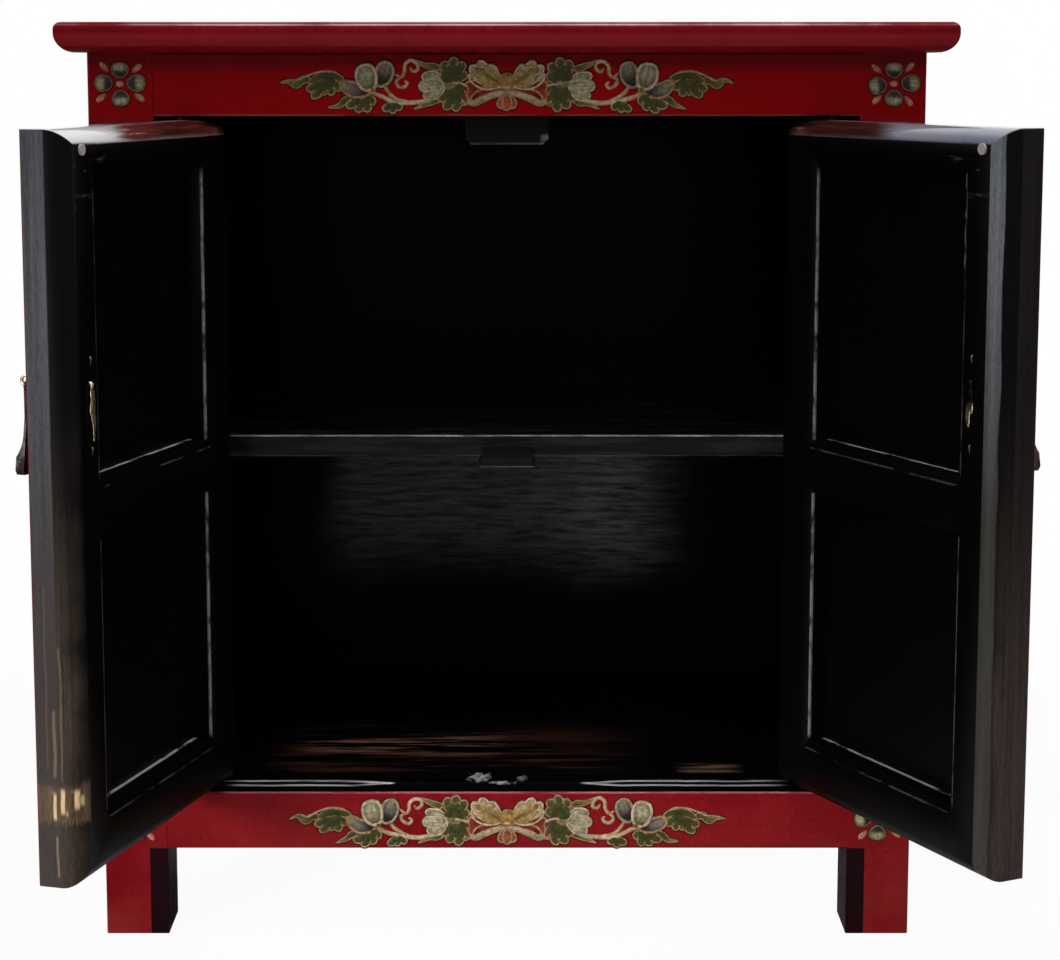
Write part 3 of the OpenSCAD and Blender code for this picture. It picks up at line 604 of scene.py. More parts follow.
    # red on the outer face and on the panels behind it
    field = step(q, 0.0062, 0.0056) * band(s, 0.0325, 0.0333, free - 0.0408, free - 0.04) \
        * band(z, foot + 0.002, foot + 0.003, head - 0.003, head - 0.002)
    red = paint.mix(step(cloud, 0.3, 0.7), tone(112, 8, 18), tone(134, 20, 28))
    mirror = crown * (1.0 - near * 0.9) * step(up, 0.6, 0.85)
    return {
        "Base Color": paint.mix(paint.either(step(q, 0.0011, 0.0004), field), coat, red),
        "Roughness": worn_top * 0.2 + cloud * 0.15 + 0.32,
        "Specular IOR Level": 0.06,
        "Coat Weight": paint.node("Math", {"operation": "MAXIMUM"}, {0: mirror, 1: ledge * 0.12}),
        "Coat Roughness": 0.06,
        "Coat IOR": 2.0,
        "Normal": paint.bump(0.16, 0.0006, upright * 0.6 + cloud * 0.4),
    }


DOOR_COAT = {side: finish(f"black_lacquer_{word}_door", lambda paint: door_sockets(side, paint))
             for side, word in SIDE_NAME.items()}
print("door finishes:", [m.name for m in DOOR_COAT.values()])

# %% [markdown]
# **The small materials**: stained wood on the hidden cleats, tarnished brass for the cotters, dark
# patinated iron for the plates and pulls, and pale felt for the bumpers. Metal is told from lacquer by
# its Metallic value, and old metal by patches that are rougher and darker than the rest.

# %% Wood, metals and felt
def bare_sockets(paint):
    rings = paint.grain(paint.place(), (160, 8, 160), 4.0, 0.6)
    return {
        "Base Color": paint.mix(paint.step(rings, 0.35, 0.7), tone(26, 19, 15), tone(54, 39, 29)),
        "Roughness": rings * 0.2 + 0.6,
        "Specular IOR Level": 0.2,
        "Normal": paint.bump(0.4, 0.0006, rings),
    }


def brass_sockets(paint):
    """Old brass; the upper part of the right door's cotter is darkened with painted shade."""
    where = paint.place()
    patch = paint.step(paint.noise(where, 260.0, 4.0, 0.6), 0.42, 0.62)
    x, y, z = paint.axes(where)
    # painted shade on the upper part of the right door's cotter
    black = paint.step(x, 0.0, 0.01) * paint.step(z, 0.404, 0.409)
    brass = paint.mix(patch, tone(240, 224, 184), tone(168, 146, 100))
    return {
        "Base Color": paint.mix(black, brass, tone(30, 26, 22)),
        "Metallic": 1.0,
        "Roughness": patch * 0.25 + 0.24,
        "Normal": paint.bump(0.3, 0.0003, paint.noise(where, 700.0, 2.0)),
    }


def iron_sockets(paint):
    where = paint.place()
    patch = paint.step(paint.noise(where, 140.0, 5.0, 0.65), 0.4, 0.62)
    return {
        "Base Color": paint.mix(patch, tone(66, 60, 54), tone(28, 26, 25)),
        "Metallic": 0.85,
        "Roughness": patch * 0.2 + 0.38,
        "Normal": paint.bump(0.45, 0.0004, paint.noise(where, 420.0, 4.0)),
    }


def felt_sockets(paint):
    fuzz = paint.noise(paint.place(), 1600.0, 4.0, 0.7)
    return {
        "Base Color": paint.mix(fuzz, tone(150, 138, 140), tone(204, 194, 194)),
        "Roughness": 0.95,
        "Specular IOR Level": 0.1,
        "Normal": paint.bump(0.8, 0.0005, fuzz),
    }


def nail_sockets(paint):
    patch = paint.noise(paint.place(), 500.0)
    return {
        "Base Color": paint.mix(patch, tone(150, 148, 144), tone(70, 66, 62)),
        "Metallic": 1.0,
        "Roughness": patch * 0.2 + 0.25,
        "Normal": paint.bump(0.3, 0.0003, patch),
    }


STEEL_NAIL = finish("nail_iron", nail_sockets)
BARE, BRASS = finish("stained_wood", bare_sockets), finish("tarnished_brass", brass_sockets)
IRON, FELT = finish("patinated_iron", iron_sockets), finish("felt", felt_sockets)
print("finishes:", len(bpy.data.materials))

# %% [markdown]
# ## Softening the edges
#
# A joiner's model has knife edges. A plane and a few coats of lacquer leave each arris slightly round,
# and that roundness is what catches the light. The bevel could be put on every edge, but where two
# members meet flush it would cut a groove that the lacquer has long since filled. So a copy of each
# member is made, its loose triangles are merged into flat faces, and only the outward edges that touch
# no other member get a bevel.

# %% Find the edges that meet a neighbour
def all_surfaces():
    """Every model triangle in one search tree, and the name of the member that each belongs to."""
    points, faces, owners = [], [], []
    for name, member in frame["nodes"].items():
        mesh = member.data
        mesh.calc_loop_triangles()
        co = np.zeros(len(mesh.vertices) * 3, np.float32)
        mesh.vertices.foreach_get("co", co)
        corners = np.zeros(len(mesh.loop_triangles) * 3, np.int32)
        mesh.loop_triangles.foreach_get("vertices", corners)
        faces += (corners.reshape(-1, 3) + len(points)).tolist()
        points += co.reshape(-1, 3).tolist()
        owners += [name] * len(mesh.loop_triangles)
    return BVHTree.FromPolygons(points, faces), owners


SURFACES, OWNERS = all_surfaces()
print("model triangles:", len(OWNERS))

# %% Soften a member
ROUND_FROM = math.radians(35)      # edges that turn more sharply than this are arrises


def dress(name, material):
    """Gives a model node its finish."""
    mesh = frame["nodes"][name].data
    mesh.materials.clear()
    mesh.materials.append(material)


def soften(name, material, radius=0.0006, segments=2):
    """A copy of a member with rounded free arrises stands in for it, on the same body."""
    member = frame["nodes"][name]
    shape = bmesh.new()
    shape.from_mesh(member.data)
    bmesh.ops.remove_doubles(shape, verts=shape.verts, dist=1e-5)
    bmesh.ops.dissolve_limit(shape, angle_limit=math.radians(0.5), verts=shape.verts, edges=shape.edges)
    weight = shape.edges.layers.float.new("bevel_weight_edge")
    for edge in shape.edges:
        turn = edge.calc_face_angle(0.0)
        edge.smooth = turn < ROUND_FROM
        if turn > ROUND_FROM and edge.is_convex:
            middle = (edge.verts[0].co + edge.verts[1].co) / 2
            near = SURFACES.find_nearest_range(middle, 0.00025)
            edge[weight] = 0.0 if any(OWNERS[hit[2]] != name for hit in near) else 1.0
    for face in shape.faces:
        face.smooth = True
    mesh = bpy.data.meshes.new(name + "_softened")
    shape.to_mesh(mesh)
    shape.free()
    mesh.materials.append(material)
    piece = put(name + "_softened", mesh)
    rounding = piece.modifiers.new("rounding", "BEVEL")
    rounding.limit_method, rounding.width, rounding.segments = "WEIGHT", radius, segments
    rounding.harden_normals, rounding.use_clamp_overlap = True, False
    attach(piece, member["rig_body"])
    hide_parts(name)
    return piece


CASE_RED = ["top_front", "top_back", "top_left", "top_right", "top_panel",
            "post_front_left", "post_front_right", "post_back_left", "post_back_right",
            "front_top_rail", "front_bottom_rail", "back_top_rail", "back_bottom_rail",
            "left_top_rail", "left_bottom_rail", "right_top_rail", "right_bottom_rail",
            "left_side_panel", "right_side_panel"]
CASE_DARK = {"shelf_board": SHELF, "shelf_stop": SHELF, "top_stop_block": SHELF,
             "floor_board": DARK, "back_panel": DARK, "top_brace": DARK}
for name in CASE_RED:
    soften(name, RED, 0.0009 if name.startswith("top_") else 0.0007)
for name, material in CASE_DARK.items():
    soften(name, material)
print("softened members of the case:", len(CASE_RED) + len(CASE_DARK))

# %% Soften the doors, dress the rest
for side, word in SIDE_NAME.items():
    for part in ("hinge_stile", "free_stile", "top_rail", "mid_rail", "bottom_rail"):
        soften(f"{word}_door_{part}", DOOR_COAT[side], 0.0008)
    for part in ("upper_panel", "lower_panel"):
        dress(f"{word}_door_{part}", DOOR_COAT[side])
    soften(f"{word}_door_plate", IRON, 0.0003)
    soften(f"{word}_pull", IRON, 0.0004)
    dress(f"{word}_door_bumper", FELT)
for name in ("floor_cleat_left", "floor_cleat_right", "shelf_cleat_left", "shelf_cleat_right"):
    dress(name, BARE)

# %% [markdown]
# ## Drawing with a loaded brush
#
# The flowers are painted thickly, and each stroke stands a little proud of the wood. A stroke is long,
# swells from its ends, and is round on top: an ellipse carried along a smooth line, half sunk in the
# wood. Leaves, petals and stems differ only in the line, the swelling and the colours, so one function
# of two numbers, how far along and how far round, makes them all.

# %% Smooth lines
def smooth_line(points, count):
    """Catmull-Rom curve: between two points a cubic, whose slope at each is half the chord across it."""
    p = np.array(points, float)
    p = np.vstack([2 * p[0] - p[1], p, 2 * p[-1] - p[-2]])
    t = np.linspace(0, len(points) - 1, count)
    i = np.minimum(t.astype(int), len(points) - 2)
    f = (t - i)[:, None]
    a, b, c, d = p[i], p[i + 1], p[i + 2], p[i + 3]
    return b + f * (c - a) / 2 + f**2 * (a - 2.5 * b + 2 * c - d / 2) \
        + f**3 * (1.5 * (b - c) + (d - a) / 2)


def skin(rings, looped=False):
    """Faces over a grid of rings: quads round them all, and a fan to a pole at each open end."""
    n, k = rings.shape[:2]
    rows = np.arange(n if looped else n - 1)
    i, j = np.meshgrid(rows, np.arange(k), indexing="ij")
    a, b = i * k + j, i * k + (j + 1) % k
    c, d = (b + k) % (n * k), (a + k) % (n * k)
    faces = np.stack([a, b, c, d], -1).reshape(-1, 4).tolist()
    points = rings.reshape(-1, 3)
    if not looped:
        j, last = np.arange(k), (n - 1) * k
        faces += np.stack([(j + 1) % k, j, np.full(k, n * k)], -1).tolist()
        faces += np.stack([last + j, last + (j + 1) % k, np.full(k, n * k + 1)], -1).tolist()
        points = np.vstack([points, rings[0].mean(0), rings[-1].mean(0)])
    return points, faces


def places(x, y, z):
    """Places from their coordinates, each one number or an array of them."""
    return np.stack(np.broadcast_arrays(x, y, z), -1)


def outward(points, faces):
    """Faces of a closed shape, all turned over if the volume summed from a triangle of each is negative."""
    corners = points[np.array([f[:3] for f in faces])] - points[0]
    volume = np.einsum("ij,ij->i", corners[:, 0], np.cross(corners[:, 1], corners[:, 2])).sum()
    return faces if volume > 0 else [f[::-1] for f in faces]


def solid(name, points, faces, material):
    """A smooth-shaded object of points in metres."""
    mesh = bpy.data.meshes.new(name)
    mesh.from_pydata(points.tolist(), [], faces)
    mesh.polygons.foreach_set("use_smooth", np.ones(len(mesh.polygons), bool))
    mesh.materials.append(material)
    return put(name, mesh)


print("a line through three points:", smooth_line([(0, 0), (1, 1), (2, 0)], 5).round(2).tolist())

# %% [markdown]
# ## Brass and nails
#
# A cotter is one length of wire: an eye, two legs side by side through the wood, and each leg hammered
# flat and bent down over the inner face. The plate is held by nails whose points are bent over too. A
# bar swept along a line makes the wire, and a profile turned round an axis makes the nail heads.

# %% Swept bars and turned heads
def bar(path, wide, thick, beside, looped=False):
    """A bar of oval section along a path: wide and thick are half sizes, beside the wide direction."""
    ahead = np.gradient(path, axis=0) if not looped else np.roll(path, -1, 0) - np.roll(path, 1, 0)
    ahead /= np.linalg.norm(ahead, axis=1)[:, None]
    out = np.cross(ahead, beside)
    out /= np.linalg.norm(out, axis=1)[:, None]
    broad = np.cross(out, ahead)
    turn = np.linspace(0, 2 * np.pi, 16, endpoint=False)
    x, y = (np.sign(f(turn)) * np.abs(f(turn)) ** 0.7 for f in (np.cos, np.sin))
    wide, thick = (np.broadcast_to(v, len(path))[:, None, None] for v in (wide, thick))
    return skin(path[:, None] + broad[:, None] * wide * x[None, :, None]
                + out[:, None] * thick * y[None, :, None], looped)


def dome(middle, radius, height):
    """A nail head on the outer face: half an ellipse turned round the nail."""
    rise = np.linspace(0, 0.96 * np.pi / 2, 7)
    turn = np.linspace(0, 2 * np.pi, 20, endpoint=False)
    ring = places(np.cos(turn), 0.0, np.sin(turn))
    return skin(np.array([middle + ring * radius * math.cos(a) + np.array([0, -height * math.sin(a), 0])
                          for a in rise]))


def forge(name, side, parts, material):
    """One piece of closed shapes given in millimetres along the door, through it and up."""
    start, along, through = door_frame(side)
    points, faces = [], []
    count = 0
    for local, rows in parts:
        world = (start + local[:, :1] * along / 1000 + local[:, 1:2] * through / 1000) \
            + np.array([0, 0, 0.001]) * local[:, 2:]
        faces += [[v + count for v in f] for f in outward(world, rows)]
        points.append(world)
        count += len(world)
    made = solid(name, np.vstack(points), faces, material)
    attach(made, SIDE_NAME[side] + "_door")
    return made


# the rest of this cell is in millimetres: the cotter's eye, the wire and the inner face of the door
EYE_S, EYE_Q, EYE_Z, EYE_R = 213.2, -12.5, 421.0, 3.3
WIRE, LANE, BEND = 1.0, 0.7, 1.7      # half the wire's width, half the legs' distance, radius of their bend
INNER = DOOR["thick"] * 1000
ALONG = np.array([1.0, 0, 0])


def cotter(side):
    """Eye, shank and two hammered legs that wander a little as they hang down the inner face."""
    turn = np.linspace(0, 2 * np.pi, 28, endpoint=False)
    eye = places(EYE_S, EYE_Q + EYE_R * np.cos(turn), EYE_Z + EYE_R * np.sin(turn))
    parts = [bar(eye, WIRE, WIRE, ALONG, looped=True)]
    longer, wander = (34.5, 0.6) if side == LEFT else (27.0, 0.1)
    bend, down = np.linspace(0, np.pi / 2, 7), np.linspace(0, 1, 26)
    for lane, length, sway, broad in ((-1, longer, 0.5, 1.5), (1, 18.0, 1.7, 0.5)):
        middle = EYE_S + LANE * lane
        shank = places(middle, np.linspace(EYE_Q + EYE_R, INNER - 1.2, 5), EYE_Z)
        corner = places(middle, INNER - 1.0 + BEND * np.sin(bend), EYE_Z - BEND * (1 - np.cos(bend)))
        leg = places(middle + lane * sway * down + wander * np.sin(down * 7 + lane) * down,
                     INNER + 0.7 + 0.22 * (1 + np.sin(down * 13 + 2 * lane)), EYE_Z - BEND - length * down)
        flat = 1.0 + broad * np.sin(np.clip(down * 1.05, 0, 1) * np.pi) ** 0.6 + 0.14 * np.sin(down * 23)
        thin = np.interp(down, [0, 0.12, 1], [0.95, 0.55, 0.4])
        round_part = np.full(len(shank) + len(corner), WIRE)
        parts.append(bar(np.vstack([shank, corner, leg[1:]]), np.concatenate([round_part, flat[1:]]),
                         np.concatenate([round_part, thin[1:]]), ALONG))
    made = forge(f"{SIDE_NAME[side]}_brass_cotter", side, parts, BRASS)
    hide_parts(f"{SIDE_NAME[side]}_door_cotter")
    return made


def nails(side):
    """Two domed nails in the plate, their points bent down over the inner face."""
    parts = []
    for height in (437.0, 381.0):
        parts.append(dome(np.array([EYE_S, -1.15, height]), 2.3, 1.4))
        bend = np.linspace(0, 1, 9)
        through = INNER - 1.0 + 1.5 * np.sin(np.minimum(bend * 3, 1) * np.pi / 2)
        point = places(EYE_S + 1.2 * bend ** 2, through, height - 5.5 * bend ** 1.5)
        parts.append(bar(point, 0.75 * (1.05 - bend), 0.6 * (1.05 - bend), ALONG))
    return forge(f"{SIDE_NAME[side]}_plate_nails", side, parts, STEEL_NAIL)


for side in (LEFT, RIGHT):
    print(cotter(side).name, nails(side).name)

# %% [markdown]
# A painting gathers its strokes before it becomes one mesh. It keeps, for every point, the colour of
# the paint there, so one material serves every petal.

# %% A painting made of strokes
STROKE_PAINTED_SHADOW = tone(58, 4, 10)      # painted shadow: the ground just round a stroke, darkened as if the stroke shades it
# a stroke's section: half a circle above, from one edge to the other, and three points below
SECTION = np.concatenate([np.linspace(0, np.pi, 13), np.pi + np.linspace(0.25, 0.75, 3) * np.pi])
OTHER_EDGE = 12


class Painting:
    """Strokes on a flat face, in millimetres: across, up and out of the face."""

    def __init__(self):
        self.points, self.faces, self.tones = [], [], []
        self.count = 0

    def add(self, points, faces, tones):
        """Adds a closed shape and the colour of each of its points."""
        self.faces += [[v + self.count for v in f] for f in outward(points, faces)]
        self.points.append(points)
        self.tones.append(tones)
        self.count += len(points)

    def stroke(self, line, half, height, heart, rim, power=0.5, lean=0.0, veins=0.0, seam=None,
               seam_half=0.5, count=22):
        """An ellipse along a line: half wide and height high, times (4 s (1 - s)) to a power.

        s runs from 0 to 1 along the line, and lean moves the widest place towards its end. heart is
        the colours of the middle along the line, rim the colour of the edges, veins darkens fine
        lines along it, and seam is the colour of a thin line round the whole stroke."""
        spine = smooth_line(line, count)
        s = np.linspace(0.004, 0.996, count)
        swell = (4 * s * (1 - s)) ** power * (1 + lean * (s - 0.5))
        ahead = np.gradient(spine, axis=0)
        ahead /= np.linalg.norm(ahead, axis=1)[:, None]
        beside = np.stack([-ahead[:, 1], ahead[:, 0]], 1)
        across = np.cos(SECTION)
        flat = spine[:, None] + beside[:, None] * (half * swell[:, None] * across)[..., None]
        out = height * np.sin(SECTION) * np.minimum(swell, 1)[:, None] ** 0.5
        rings = np.dstack([flat, out])
        ramp = np.array([c[:3] for c in heart])
        at = s * (len(ramp) - 1)
        middle = np.stack([np.interp(at, np.arange(len(ramp)), ramp[:, c]) for c in range(3)], 1)
        edge = np.abs(across)[None, :, None] ** 2.5
        vein = 1 - veins * (0.5 + 0.5 * np.cos(across * 14))[None, :, None] * (1 - edge)
        tones = (middle[:, None] * (1 - edge) + np.array(rim[:3]) * edge) * vein
        points, faces = skin(rings)
        ends = np.vstack([tones.reshape(-1, 3), tones[0].mean(0), tones[-1].mean(0)])
        self.add(points, faces, ends)
        if seam:
            loop = np.vstack([rings[:, 0, :2], rings[::-1, OTHER_EDGE, :2]])
            self.outline(loop, seam_half, seam, height * 0.3)
            # a wider, flat, dark line under the seam is a painted shadow round the stroke
            self.outline(loop, seam_half + 0.75, STROKE_PAINTED_SHADOW, 0.12, 0.1)

    def outline(self, loop, half, colour, lift, rise=0.9):
        """A thin round line along a closed loop; rise is its height as a share of its width."""
        loop = loop[np.r_[True, np.linalg.norm(np.diff(loop, axis=0), axis=1) > 0.05]]
        ahead = np.roll(loop, -1, 0) - np.roll(loop, 1, 0)
        ahead /= np.linalg.norm(ahead, axis=1)[:, None] + 1e-9
        beside = np.stack([-ahead[:, 1], ahead[:, 0]], 1)
        turn = np.linspace(0, 2 * np.pi, 6, endpoint=False)
        flat = loop[:, None] + beside[:, None] * (half * np.cos(turn))[None, :, None]
        out = np.broadcast_to(lift + half * rise * np.sin(turn), flat.shape[:2])
        points, faces = skin(np.dstack([flat, out]), looped=True)
        self.add(points, faces, np.broadcast_to(np.array(colour[:3]), points.shape))

    def piece(self, name, place, body, slot):
        """One object of all the strokes, put on its face by place, with the colours as an attribute."""
        made = solid(name, place(np.vstack(self.points) / 1000), self.faces, PAINT)
        layer = made.data.color_attributes.new("paint", "FLOAT_COLOR", "POINT")
        rgba = np.ones((self.count, 4), np.float32)
        rgba[:, :3] = np.vstack(self.tones)
        layer.data.foreach_set("color", rgba.ravel())
        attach(made, body)
        return made


def paint_sockets(paint):
    """Thick oil-like paint: the colour stored on the strokes, broken by fine brush noise."""
    where = paint.place()
    own = paint.node("Attribute", {"attribute_name": "paint"}, out="Color")
    brush, blot = (paint.noise(where, scale, rough=0.6) for scale in (900.0, 330.0))
    dull = paint.mix(paint.step(blot, 0.42, 0.62) * 0.45, own, tone(56, 34, 22))
    return {
        "Base Color": paint.mix(paint.step(brush, 0.45, 0.7) * 0.3, dull, tone(58, 30, 22)),
        "Roughness": 0.42,
        "Specular IOR Level": 0.15,
        "Normal": paint.bump(0.5, 0.0003, brush * 0.6 + blot),
    }


PAINT = finish("painted_flowers", paint_sockets)


def on_front(height):
    """Places strokes on the case's front, their middle at a height."""
    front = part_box("front_top_rail")[0].y
    return lambda p: places(p[:, 0], front - p[:, 2], height + p[:, 1])


print("section of a stroke has", len(SECTION), "points")

# %% [markdown]
# ## The scroll of flowers
#
# Each front rail carries the same traditional scroll: a yellow blossom in the middle, then on each
# side a spray of green leaves, a white bud, a cream stem with a curl, three grey and cream petals and
# a trailing leaf. The two sides mirror each other but for the hand of the painter, so one function
# draws both, each through a brush that mirrors its lines and lets them wobble a little.

# %% Colours of the scroll
GREEN, MOSS, PALE = tone(44, 52, 20), tone(84, 92, 36), tone(140, 134, 96)
CREAM, BONE, TAN = tone(196, 174, 140), tone(158, 142, 112), tone(166, 128, 92)
SLATE, INK, STEEL = tone(58, 54, 50), tone(26, 22, 20), tone(122, 116, 106)
GOLD, OCHRE, AMBER = tone(178, 146, 82), tone(126, 98, 50), tone(192, 124, 50)
RUST = tone(148, 34, 20)
PINK, WHITE, FADED = tone(184, 132, 108), tone(190, 182, 150), tone(138, 108, 86)


def mirrored(side, wobble, line):
    """Turns a line drawn for the right side to a side, with a small wave added to its heights."""
    p = np.array(line, float)
    p[:, 1] += wobble * np.sin(p[:, 0] * 0.35)
    return p * [side, 1]


def hand(art, side, wobble):
    """A brush for one side: a function that paints a stroke drawn for the right side."""
    return lambda line, *rest, **more: art.stroke(mirrored(side, wobble, line), *rest, **more)


def leaf(draw, base, tips, half, heart=(MOSS, GREEN, MOSS), rim=GREEN, seam=TAN, seam_half=0.7):
    """A lobed leaf: outlined strokes side by side, from the base to each tip.

    Shorter and higher strokes over their inner parts hide the lines there."""
    base = np.array(base, float)
    for share, wide, height, line in ((1.0, half, 0.8, seam), (0.72, half * 1.1, 1.45, None)):
        for tip in tips:
            reach = np.array(tip, float) - base
            bend = reach[::-1] * [0.12, -0.12]
            spine = [base, base + (reach / 2 + bend) * share, base + reach * share]
            draw(spine, wide, height, heart, rim, lean=0.55, veins=0.5, seam=line, seam_half=seam_half)


# what strokes of one kind have in common
TIP = {"power": 0.6, "seam": TAN}
PETAL = {"power": 0.42, "lean": 0.3}


def scroll_side(draw):
    """Everything on one side of the blossom, from the tip of the trailing leaf inwards."""
    # trailing leaf, with the line that sweeps over it
    draw([(131, 2), (138, 3), (143, -0.5), (148, 2.4), (154, 1)], 2.1, 0.6, [GREEN, MOSS, TAN], GREEN,
         lean=-1.2, **TIP)
    leaf(draw, (124, 3), [(113.5, -3.5), (119, -7.5), (125.5, -7), (132.5, -8.5), (136, -3)], 2.7)
    draw([(111, 4), (117, 5), (126, 5.5), (134, 1.5)], 2.8, 1.0, [MOSS, GREEN, MOSS], GREEN,
         power=0.45, veins=0.5, seam=TAN)
    draw([(154, 1), (147, 3.6), (141, 3), (135, 6), (126, 9), (117, 8.5), (110, 4)], 0.65, 0.8,
         [TAN, CREAM, TAN], TAN, power=0.2, count=34)
    # leaf under the petals
    draw([(101, -9), (109, -10), (114, -14), (121.5, -16)], 1.9, 0.6, [MOSS, GREEN, TAN], GREEN,
         lean=-1.0, **TIP)
    leaf(draw, (98, -8), [(90, -13), (95, -18), (102.5, -18.5), (109, -14.5)], 2.8)
    # three petals
    draw([(93.5, -2), (98, -4.5), (105, -3.5), (112.5, 1)], 4.7, 1.1, [INK, INK, STEEL, BONE], INK,
         **PETAL, veins=0.3, seam=TAN, seam_half=1.1)
    draw([(87.5, -1), (83.5, 6), (81.5, 15)], 5.6, 1.1, [INK, INK, STEEL, BONE], INK,
         **PETAL, veins=0.3, seam=BONE, seam_half=1.1)
    draw([(92, -3), (95, 4), (96.4, 13.6)], 6.6, 1.6, [INK, PALE, WHITE, PALE], INK, power=0.38,
         lean=0.3, veins=0.3, seam=CREAM, seam_half=1.25)
    draw([(89.4, -3.2), (92.8, -3.2)], 2.0, 1.8, [OCHRE, MOSS], OCHRE, power=0.4, seam=TAN)
    # stems and the small leaf under them
    leaf(draw, (78, -12), [(72, -17), (78.5, -19), (84.5, -17)], 2.2)
    draw([(93, -4.5), (86, -8), (76, -11.5), (64, -12.4), (54, -11), (46, -8)], 1.7, 1.1,
         [TAN, CREAM, CREAM, BONE], TAN, power=0.2)
    draw([(83.5, 0.5), (80.5, -5), (75, -9.5), (67, -12)], 1.4, 1.0, [TAN, CREAM], TAN, power=0.2)
    # curl
    draw([(76, 7.5), (72, 5), (69.4, 8), (69, 13), (65.5, 16), (61.3, 14.6), (60.4, 10.6), (63.8, 8.8),
          (65.8, 11.4)], 1.35, 1.0, [PINK, CREAM, BONE], TAN, power=0.25, count=40)
    draw([(72, 5), (75, 2.6), (73.6, -1), (69.6, -2), (67.6, 0.6), (69.6, 2.2)], 1.25, 0.9,
         [BONE, CREAM], TAN, power=0.25, count=26)
    # sprays of leaves inside, above and below
    for up in (1, -1):
        draw([(42, 8 * up), (49, 11.5 * up), (55, 13 * up), (63, 16.6 * up)], 1.9, 0.6,
             [GREEN, MOSS, TAN], GREEN, lean=-0.8, **TIP)
        leaf(draw, (36, 2.5 * up),
             [(27, 6 * up), (28.5, 14 * up), (35, 18 * up), (42.5, 16 * up), (47, 9.5 * up)], 3.3)
    # bud
    draw([(36, 0.5), (40, 0.6), (45, 0)], 2.4, 1.2, [MOSS, PALE], GREEN, seam=TAN, seam_half=0.6)
    for tip in ((57.5, 5.6), (56.5, -7.6)):
        draw([(42.5, tip[1] * 0.15), (49, tip[1] * 0.9), tip], 3.1, 1.2, [BONE, WHITE, PALE], SLATE,
             **PETAL, veins=0.4, seam=CREAM, seam_half=0.75)
    draw([(43, 0), (50, -0.8), (59.5, -1.2)], 4.2, 1.6, [PALE, WHITE, WHITE], BONE,
         **PETAL, veins=0.5, seam=CREAM, seam_half=0.75)
    draw([(26.5, -1), (33, 0.8), (39, 0.6)], 1.0, 1.2, [CREAM, TAN], CREAM, power=0.25)


print("one side of the scroll is drawn from the outside in")

# %% The blossom and the whole scroll
def blossom(art, flame, rust):
    """The flower in the middle: golden scalloped wings above, reddish lobes under them, cream bands."""
    both = hand(art, -1, 0), hand(art, 1, 0)
    for draw in both:
        draw([(9, -1), (17, 0.4), (23.5, -1.5), (27.4, -7), (26, -13)], 4.4, 0.8, [rust, rust, flame],
             rust, power=0.42, veins=0.4, seam=TAN, seam_half=0.9)
        draw([(4, -3), (12, -4.5), (20, -6)], 3.6, 0.9, [flame, rust, rust], rust, power=0.42, veins=0.3)
        leaf(draw, (3, 0), ((25.4, 6.5), (24.4, 12.4), (18.6, 15.6), (11.5, 13.2)), 3.7,
             [OCHRE, GOLD, GOLD, CREAM], OCHRE, CREAM, 0.95)
        draw([(3, 0), (10, 4), (17, 8), (22, 11)], 3.4, 1.6, [flame, OCHRE, GOLD, OCHRE], OCHRE, veins=0.6)
    for way, foot, height in ((-1, -15.6, 0.8), (0, -17.2, 1.1), (1, -15.6, 0.8)):
        art.stroke([(0, -6), (way * 2.4, -11), (way * 5.0, foot)], 3.0, height, [rust, flame, flame], rust,
                   power=0.42, lean=0.4, veins=0.4, seam=TAN, seam_half=0.75)
    for draw in both:
        draw([(0, -5), (8, -6.6), (16, -9.6), (22.5, -12.6), (26.4, -10.4)], 2.1, 1.6,
             [CREAM, CREAM, BONE, CREAM], BONE, power=0.35, veins=0.45, seam=TAN)
    art.stroke([(0, -4), (0.4, 2), (0.4, 7.6)], 5.4, 2.0, [flame, AMBER, GOLD, OCHRE], OCHRE, power=0.45,
               veins=0.4, seam=TAN, seam_half=0.6)
    art.stroke([(-3.6, -3), (0, -1.4), (3.6, -3)], 2.0, 2.2, [OCHRE, CREAM, OCHRE], flame)


def rail_middle(name):
    low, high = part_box(name)
    return (low.z + high.z) / 2


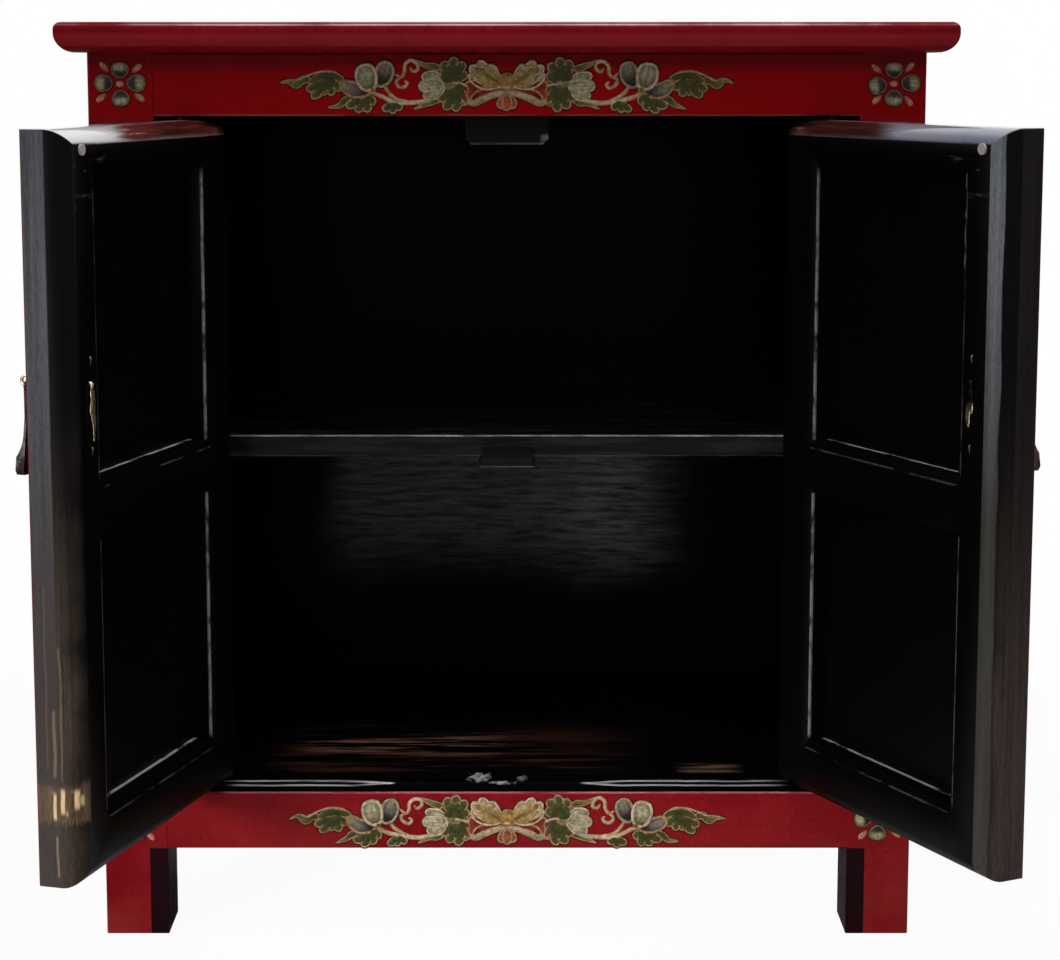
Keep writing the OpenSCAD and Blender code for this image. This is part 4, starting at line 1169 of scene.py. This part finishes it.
for name, wobble, flame, rust in (("front_top_rail", 0.5, tone(182, 76, 32), tone(126, 20, 14)),
                                  ("front_bottom_rail", -0.6, tone(160, 88, 52), tone(126, 36, 28))):
    art = Painting()
    for side in (RIGHT, LEFT):
        scroll_side(hand(art, side, side * wobble))
    blossom(art, flame, rust)
    made = art.piece(name.replace("front_", "") + "_scroll", on_front(rail_middle(name)), "case",
                     "red_lacquer")
    print(made.name, "points:", len(made.data.vertices))

# %% [markdown]
# ## The corner flowers
#
# At each end of the rails, on the face of the post, sits a flower of four round petals, dark towards
# its heart and cream outside, with a small dart between each two petals. A petal is the same stroke
# again, short and fat, drawn outwards from the heart.

# %% Corner flowers
def corner_flower(art, middle, seed):
    """Four petals on the upright and level lines through the middle, four darts on the diagonals.

    seed is a number that makes each flower a little different, as the painter's hand did."""
    for turn in range(4):
        angle = turn * math.pi / 2 + 0.07 * math.sin(seed + turn * 2.3)
        way = np.array([math.cos(angle), math.sin(angle)])
        beside = np.array([-way[1], way[0]])
        reach = (1.0 if turn % 2 == 0 else 0.85) * (1 + 0.04 * math.sin(seed * 3 + turn))
        petal = [middle + way * r * reach + beside * 0.5 * math.sin(seed + r) for r in (5.4, 11.2, 17.2)]
        art.stroke(petal, 5.5, 1.4, [INK, INK, SLATE, WHITE, WHITE, PALE], SLATE, power=0.45, lean=0.35,
                   veins=0.45, seam=FADED)
        angle += math.pi / 4 + 0.1 * math.cos(seed * 2 + turn)
        way = np.array([math.cos(angle) * 1.05, math.sin(angle) * 0.92])
        dart = [middle + way * r for r in (11.5, 15.5, 20.0)]
        art.stroke(dart, 1.9, 0.9, [RUST, PINK, PINK], TAN, lean=0.6)
    art.stroke([middle + (-2.7, 0.4), middle + (2.7, -0.2)], 2.1, 1.2, [PINK, CREAM, PINK], PINK)


for side, word in SIDE_NAME.items():
    for rail in ("top", "bottom"):
        low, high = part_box("post_front_" + word)
        art = Painting()
        corner_flower(art, np.array([(low.x + high.x) * 500, 0.4]), side + len(rail) * 0.7)
        art.piece(f"{rail}_{word}_corner_flower", on_front(rail_middle(f"front_{rail}_rail")), "case",
                  "red_lacquer")
